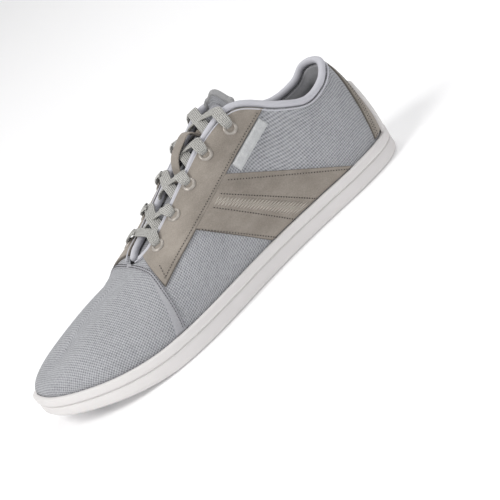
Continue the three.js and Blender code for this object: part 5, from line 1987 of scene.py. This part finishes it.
@dataclass
class Tongue:
    """Padded tongue with its knitted top band, keeper strap and blank label."""

    last: Last
    sewing: Sewing
    depth: float = 1.0
    thickness: float = 2.6
    rise: float = 8.0
    crown: float = 1.2
    top_crown: float = 5.0
    top_round: float = 0.6
    top_taper: float = 0.94
    lift: float = 3.0
    keeper: tuple = (106.0, 132.0, 11.0, 10.0)
    label: tuple = (84.0, 91.5, 22.0)

    def row(self, section: float) -> np.ndarray:
        """Points across the tongue's outer face, from its outer wing to its inner one.

        Args:
            section: Section from the heel.

        Returns:
            One row of points.
        """
        walls = self.last.walls
        depth = walls.cloth / 2 + walls.roll + self.depth
        shares = np.linspace(0.7, 1.0, 7)

        def wing(side: int) -> np.ndarray:
            """Points on one side, under the upper."""
            place = np.full_like(shares, section * side)
            return self.last.wall(place, shares) - self.last.normal(place, shares) * depth

        outer, inner = wing(1), wing(-1)[::-1]
        open_share = min(1.0, max(0.0, self.last.throat - section))
        high = max(0.0, (8 - section) / 3) ** 2
        crown = self.crown * open_share + (self.top_crown - self.crown) * high
        share = np.linspace(0, 1, 15)[1:-1][:, None]
        across = outer[-1] * (1 - share) + inner[0] * share
        across[:, 2] += (crown * np.sin(np.pi * share) ** 2)[:, 0]
        return np.concatenate([outer, across, inner])

    def grid(self) -> np.ndarray:
        """Rows of the tongue's outer face from its top edge to under the vamp."""
        rows = [self.row(section) for section in np.linspace(5, 11, 61)]
        first, second = rows[0], self.row(5.4)
        centre = (len(first) - 1) / 2
        aside = (np.abs(np.arange(len(first)) - centre) / centre) ** 2
        back = unit(first - second)
        rise = unit(back + np.array([0, 0, self.lift]))
        raised = []
        for share in np.linspace(1, 0, 9)[:-1]:
            row = first + rise * (self.rise * share * (1 - self.top_round * aside))[:, None]
            row[:, 1] *= 1 + (self.top_taper - 1) * share
            raised.append(row)
        return np.array(raised + rows)

    def build_flap(self) -> np.ndarray:
        """Makes the padded flap and returns its outer face.

        Returns:
            A grid of points from the top edge down.
        """
        face = self.grid()
        across = np.gradient(face, axis=1)
        down = np.gradient(face, axis=0)
        normal = unit(np.cross(down, across))
        normal *= np.sign(normal[..., 2:3].mean())
        up, side = run_length(face, 0), run_length(face, 1)
        border = np.minimum(side, side[:, -1:] - side)
        pad = round_lift(border, 5)
        quilt = 1 - 0.35 * hump(up, 24, 3) * (1 - step_between(7, 9, up / 10))
        outer = face + normal * (0.35 * pad * quilt)[..., None]
        inner = face - normal * (0.9 + (self.thickness - 0.9) * pad)[..., None]
        cloth = np.stack([up, side - side[:, -1:] / 2], -1)
        skin = Skin()
        skin.add_shell(outer, inner, cloth)
        flap = skin.piece("tongue_flap", TONGUE_CLOTH, ["tongue"])
        edge = face[0] - normal[0] * (self.thickness * 0.45)
        steps = 120
        band = through(edge[2:-2], steps)
        radius = np.full(steps, 2.1)
        ends = np.minimum(np.arange(steps), np.arange(steps)[::-1]) / 6
        radius *= 0.4 + 0.6 * np.clip(ends, 0, 1) ** 0.5
        out = np.tile([0.0, 0.0, 1.0], (len(band), 1))
        rings = tube_rings(band, out, radius, radius, 16)
        run = run_length(band, 0)
        around = np.arange(16) / 16 * 13.2
        skin = Skin()
        skin.add_tube(rings, tube_map(run, around))
        skin.piece("tongue_top_band", TONGUE_BAND)
        return outer

    def middle_at(self, face: np.ndarray, x: np.ndarray) -> np.ndarray:
        """Points on the tongue's middle line at each x.

        Args:
            face: The tongue's outer face.
            x: Where the points are wanted.

        Returns:
            One point for each x.
        """
        line = face[:, face.shape[1] // 2]
        order = np.argsort(line[:, 0])
        y = np.interp(x, line[order, 0], line[order, 1])
        z = np.interp(x, line[order, 0], line[order, 2])
        return np.column_stack([x, y, z])

    def build_trim(self, face: np.ndarray) -> None:
        """Makes the keeper strap that stands over the tongue, and the blank label.

        Args:
            face: The tongue's outer face.
        """
        back, front, width, arch = self.keeper
        share = np.linspace(-0.16, 1.16, 60)
        path = self.middle_at(face, back + (front - back) * share)
        path[:, 2] += 0.8 + arch * np.clip(1 - (2 * share - 1) ** 4, 0, 1)
        path = through(path[::3], 80)
        out = np.tile([0.0, 0.0, 1.0], (len(path), 1))
        rings = tube_rings(path, out, np.full(80, width / 2), np.full(80, 0.6), 20, 0.45)
        skin = Skin()
        skin.add_tube(rings)
        skin.piece("keeper_strap", NUBUCK, ["tongue_keeper"])
        back, front, width = self.label
        x = np.linspace(back, front, 12)
        line = self.middle_at(face, x)
        columns = np.linspace(-width / 2, width / 2, 24)
        grid = np.repeat(line[:, None], len(columns), 1)
        grid[..., 1] += columns
        flat = face.reshape(-1, 3)
        near = [flat[np.argmin(((flat[:, :2] - p[:2]) ** 2).sum(1))][2] for p in grid.reshape(-1, 3)]
        grid[..., 2] = np.array(near).reshape(grid.shape[:2])
        for _ in range(6):
            grid[1:-1, 1:-1, 2] = (
                grid[:-2, 1:-1, 2] + grid[2:, 1:-1, 2] + grid[1:-1, :-2, 2] + grid[1:-1, 2:, 2]
            ) / 4
        top, low = grid.copy(), grid.copy()
        top[..., 2] += 0.9
        low[..., 2] += 0.1
        skin = Skin()
        skin.add_shell(top, low, grid[..., :2])
        skin.piece("label_blank", LABEL_CLOTH, ["tongue_label"])

    def build(self) -> None:
        """Makes the whole tongue."""
        self.build_trim(self.build_flap())


@dataclass
class Lacing:
    """Eyelets and the flat lace that runs through them."""

    last: Last
    count: int = 5
    first: float = 27.0
    pitch: float = 22.0
    inset: float = 9.5
    bore: float = 2.5
    wall: float = 0.5
    flange: float = 4.7
    flange_height: float = 0.9
    width: float = 7.6
    thickness: float = 1.5

    def __post_init__(self) -> None:
        """Finds the eyelets' places."""
        self.spots = {side: [self.spot(side, i) for i in range(self.count)] for side in (1, -1)}

    def spot(self, side: int, index: int) -> dict:
        """Place of one eyelet, counted from the toe end.

        Args:
            side: 1 for the outer side, -1 for the inner side.
            index: Its number, from 0.

        Returns:
            Its side, section, point on the wall and outward direction.
        """
        sections = np.arange(self.last.throat, 4, -0.02)
        run = run_length(self.last.top(sections), 0)
        section = float(np.interp(self.first + index * self.pitch, run, sections))
        shares = np.arange(1, 0.5, -0.005)
        line = self.last.wall(np.full_like(shares, section * side), shares)
        share = float(np.interp(self.inset, run_length(line, 0), shares))
        point = self.last.wall(section * side, share)
        return {"side": side, "section": section, "point": point,
                "normal": self.last.normal(section * side, share)}

    def build_eyelets(self) -> None:
        """Makes the ten rolled rings, with a dark disc inside each as painted shade."""
        seat = self.last.walls.patch_top
        barrel = self.bore + self.wall
        profile = [(self.bore, -3.2), (self.bore, 0.3), (self.bore + 0.1, 0.62), (self.bore + 0.35, 0.85),
                   (self.bore + 0.8, 0.98), (self.bore + 1.3, 0.92), (self.bore + 1.9, 0.62),
                   (self.flange - 0.15, 0.28), (self.flange, 0.08), (self.flange - 0.1, -0.12),
                   (barrel, -0.15), (barrel, -3.2)]
        angle = np.arange(36) * 2 * np.pi / 36
        hole_shade_skin = Skin()
        for side in Side:
            for i, spot in enumerate(self.spots[side.value]):
                normal = spot["normal"]
                one = unit(np.cross(normal, [0.0, 0.0, 1.0]) + np.array([1e-6, 0, 0]))
                two = np.cross(normal, one)
                circle = np.cos(angle)[:, None] * one + np.sin(angle)[:, None] * two
                middle = spot["point"] + normal * seat
                rings = [middle + circle * radius + normal * height for radius, height in profile]
                skin = Skin()
                numbers = skin.add_grid(np.array(rings), (False, True))
                skin.join(numbers[0], numbers[-1], True)
                label = f"{side.word}_{i + 1}"
                skin.piece(f"eyelet_ring_{label}", EYELET, [f"eyelet_{label}"])
                # Dark discs inside the eyelets, painted shade where the holes go into the shoe.
                levels = (seat - 0.6, seat + 0.04)
                hole_shade_skin.add_tube(np.array([
                    spot["point"] + circle * (self.bore + 0.05) + normal * level for level in levels
                ]))
        hole_shade_skin.piece("eyelet_hollows", HOLE_SHADE)

    def half_run(self, spot: dict, section: float, over: float) -> list:
        """Stops of a lace from inside its eyelet to the edge of the throat.

        Args:
            spot: The eyelet.
            section: Section where it passes over the roll.
            over: How far its middle is above the roll's.

        Returns:
            Rows of point, outward direction, half width and half thickness.
        """
        seat = self.last.walls.patch_top
        normal, point = spot["normal"], spot["point"]
        edge = self.last.roll(np.array(section * spot["side"]))
        edge = edge + np.array([0, 0, over])
        toward = edge - point
        toward = unit(toward - normal * np.dot(toward, normal))
        up = np.array([0.0, 0.0, 1.0])

        def row(where: np.ndarray, out: np.ndarray, half: float, thick: float) -> np.ndarray:
            """One stop with its outward direction, half width and half thickness."""
            return np.concatenate([where, unit(out), [half, thick]])

        t = self.thickness / 2
        lean = unit(normal - toward * 0.9)
        return [
            row(point - normal * 2.5 + toward * 1.0, -toward + normal * 0.15, 1.9, 0.75),
            row(point + normal * (seat + 0.1) + toward * 1.1, lean - toward * 0.8, 2.2, 0.8),
            row(point + normal * (seat + 1.6) + toward * 2.2, lean, 3.0, 0.8),
            row(point + normal * (seat + 2.3) + toward * 4.6, normal, 3.6, t),
            row((point + normal * (seat + 2.2) + toward * 7.0) * 0.5 + edge * 0.5 + normal * 1.3,
                normal * 0.6 + up * 0.4, 3.75, t),
            row(edge, normal * 0.3 + up * 0.7, self.width / 2, t),
        ]

    def strand(self, skin: Skin, stops: Sequence[np.ndarray], count: int = 110) -> None:
        """Adds a flat strand along its stops.

        Args:
            skin: What it is added to.
            stops: Rows of point, outward direction, half width and half thickness.
            count: Number of rings.
        """
        rows = through(np.array(stops), count)
        path, out = rows[:, :3], unit(rows[:, 3:6])
        rings = tube_rings(path, out, rows[:, 6], rows[:, 7], 18, 0.62)
        run = run_length(path, 0)
        angle = np.arange(18) * 2 * np.pi / 18
        across = rows[:, 6:7] * 0 + np.sign(np.cos(angle)) * np.abs(np.cos(angle)) ** 0.62 * self.width / 2
        cloth = np.stack(np.broadcast_arrays(run[:, None], across), -1)
        skin.add_tube(rings, cloth)

    def build_bar(self) -> None:
        """Makes the straight bar over both lowest eyelets."""
        over = self.last.walls.roll + self.thickness / 2 + 0.9
        outer, inner = self.spots[1][0], self.spots[-1][0]
        one = self.half_run(outer, outer["section"], over)
        other = self.half_run(inner, inner["section"], over)[::-1]
        middle = (one[-1] + other[0]) / 2
        middle[3:6] = (0, 0, 1)
        middle[2] += 0.1
        skin = Skin()
        self.strand(skin, [*one, middle, *other], 150)
        skin.piece("lace_straight_bar", LACE, ["lace_bar"])

    def build_cross(self, row: int) -> None:
        """Makes one crossing; the strand to the inner eyelet passes over the other.

        Args:
            row: Its number from the toe end, from 0.
        """
        skin = Skin()
        over = self.last.walls.roll + self.thickness / 2 + 1.4
        for side in (1, -1):
            spot, below = self.spots[side][row + 1], self.spots[-side][row]
            step = below["section"] - spot["section"]

            def section(part: float, start: float = spot["section"], step: float = step) -> float:
                """Section at a share of the way to the eyelet below."""
                return start + step * part

            stops = self.half_run(spot, section(0.22), over)
            half = section(0.5)
            middle = (self.last.roll(np.array(half)) + self.last.roll(np.array(-half))) / 2
            middle = middle + np.array([0, 0, over + 0.5 + (0.8 if side < 0 else -0.75)])
            stops.append(np.concatenate([middle, [0, 0, 1], [self.width / 2, self.thickness / 2]]))
            root = self.last.roll(np.array(section(0.54 + 0.12) * -side))
            near = root * np.array([1, 0.78, 1]) + np.array([0, 0, 1.4])
            deep = root * np.array([1, 1.0, 1]) + np.array([1.5, 0, -4.2])
            tilt = np.array([0, 0.25 * -side, 1.0])
            stops.append(np.concatenate([near, unit(tilt), [self.width / 2, self.thickness / 2]]))
            stops.append(np.concatenate([deep, unit(tilt), [self.width / 2 * 0.9, self.thickness / 2]]))
            self.strand(skin, stops, 130)
        skin.piece(f"lace_crossing_{row + 1}", LACE, [f"lace_cross_{row + 1}"])

    def build(self) -> None:
        """Makes the eyelets and the whole lace."""
        self.build_eyelets()
        self.build_bar()
        for row in range(self.count - 1):
            self.build_cross(row)


# The studio


@dataclass(frozen=True)
class Lamp:
    """A square soft light that faces the shoe."""

    name: str
    place: tuple
    size: float
    power: float
    shade: tuple = (1.0, 1.0, 1.0)


@dataclass
class Studio:
    """Camera, floor and soft lights."""

    target: tuple = (-0.0208, 0.0005, 0.0086)
    azimuth: float = 20.0
    elevation: float = 18.0
    roll: float = 36.0
    distance: float = 1.4
    lens: float = 160.3
    room: float = 0.4
    lamps: tuple = (
        Lamp("key", (1.3, 0.2, 1.5), 0.9, 22.0, (1.0, 0.99, 0.98)),
        Lamp("front", (0.1, 1.7, 0.8), 1.0, 5.0, (0.98, 0.99, 1.0)),
        Lamp("top", (-0.5, -0.4, 1.7), 1.0, 10.0),
    )

    def add_camera(self) -> None:
        """Sets the camera at the photograph's angle, rolled as there."""
        a, e = math.radians(self.azimuth), math.radians(self.elevation)
        back = Vector((math.sin(a) * math.cos(e), math.cos(a) * math.cos(e), math.sin(e)))
        right = Vector((0, 0, 1)).cross(back).normalized()
        up = back.cross(right)
        r = math.radians(self.roll)
        turned_right = right * math.cos(r) - up * math.sin(r)
        turned_up = up * math.cos(r) + right * math.sin(r)
        axes = Matrix((turned_right, turned_up, back)).transposed().to_4x4()
        data = bpy.data.cameras.new("camera")
        data.lens, data.sensor_width = self.lens, 36.0
        data.clip_start, data.clip_end = 0.05, 20.0
        camera = bpy.data.objects.new("camera", data)
        camera.matrix_world = Matrix.Translation(Vector(self.target) + back * self.distance) @ axes
        bpy.context.scene.collection.objects.link(camera)
        bpy.context.scene.camera = camera

    def add_light(self, lamp: Lamp) -> None:
        """Adds a light that faces the shoe.

        Args:
            lamp: The light.
        """
        data = bpy.data.lights.new(lamp.name, "AREA")
        data.size, data.energy, data.color = lamp.size, lamp.power, lamp.shade
        light = bpy.data.objects.new(lamp.name, data)
        light.location = lamp.place
        aim = Vector((0, 0, 0.04)) - Vector(lamp.place)
        light.rotation_mode = "QUATERNION"
        light.rotation_quaternion = aim.to_track_quat("-Z", "Y")
        bpy.context.scene.collection.objects.link(light)

    def add_floor(self) -> None:
        """Adds the pale floor as a wide dish that rises far from the shoe."""
        angle = np.arange(64) * 2 * np.pi / 64
        radii = np.array([0.2, 0.6, 1.2, 2.0, 3.0, 4.0])
        heights = np.array([0.0, 0.0, 0.0, 0.0, 0.2, 1.2])
        grid = np.stack([
            radii[:, None] * np.cos(angle), radii[:, None] * np.sin(angle),
            np.repeat(heights[:, None], 64, 1),
        ], -1)
        mesh = bpy.data.meshes.new("floor")
        points = grid.reshape(-1, 3).tolist()
        faces = [list(range(64))]
        for r in range(len(radii) - 1):
            for k in range(64):
                j = (k + 1) % 64
                faces.append([r * 64 + k, (r + 1) * 64 + k, (r + 1) * 64 + j, r * 64 + j])
        mesh.from_pydata(points, [], faces)
        mesh.shade_smooth()
        floor = bpy.data.objects.new("floor", mesh)
        bpy.context.scene.collection.objects.link(floor)
        mesh.materials.append(FLOOR.material())

    def add_world(self) -> None:
        """Adds even light from all round."""
        world = bpy.data.worlds.new("room")
        world.use_nodes = True
        back = world.node_tree.nodes["Background"]
        back.inputs["Color"].default_value = (1.0, 1.0, 1.0, 1.0)
        back.inputs["Strength"].default_value = self.room
        bpy.context.scene.world = world

    def build(self) -> None:
        """Makes the whole studio."""
        self.add_camera()
        self.add_floor()
        self.add_world()
        for lamp in self.lamps:
            self.add_light(lamp)
        bpy.context.scene.view_settings.view_transform = "Standard"


def main() -> None:
    """Builds the shoe and its studio."""
    logging.basicConfig(level=logging.INFO, format="%(name)s %(message)s")
    Studio().build()
    last = Last()
    sewing = Sewing()
    sewing.use("seam_stitches", TAUPE_THREAD, 0.34)
    sewing.use("grey_stitches", GREY_THREAD, 0.3)
    sewing.use("zigzag_stitches", PALE_THREAD, 0.24)
    # Dark dots between the stitches, painted shade in the needle holes.
    sewing.use("needle_holes", HOLE_SHADE, 0.42)
    CupSole(last).build()
    Upper(last, sewing).build()
    Tongue(last, sewing).build()
    Lacing(last).build()
    sewing.build()


if __name__ == "__main__":
    main()
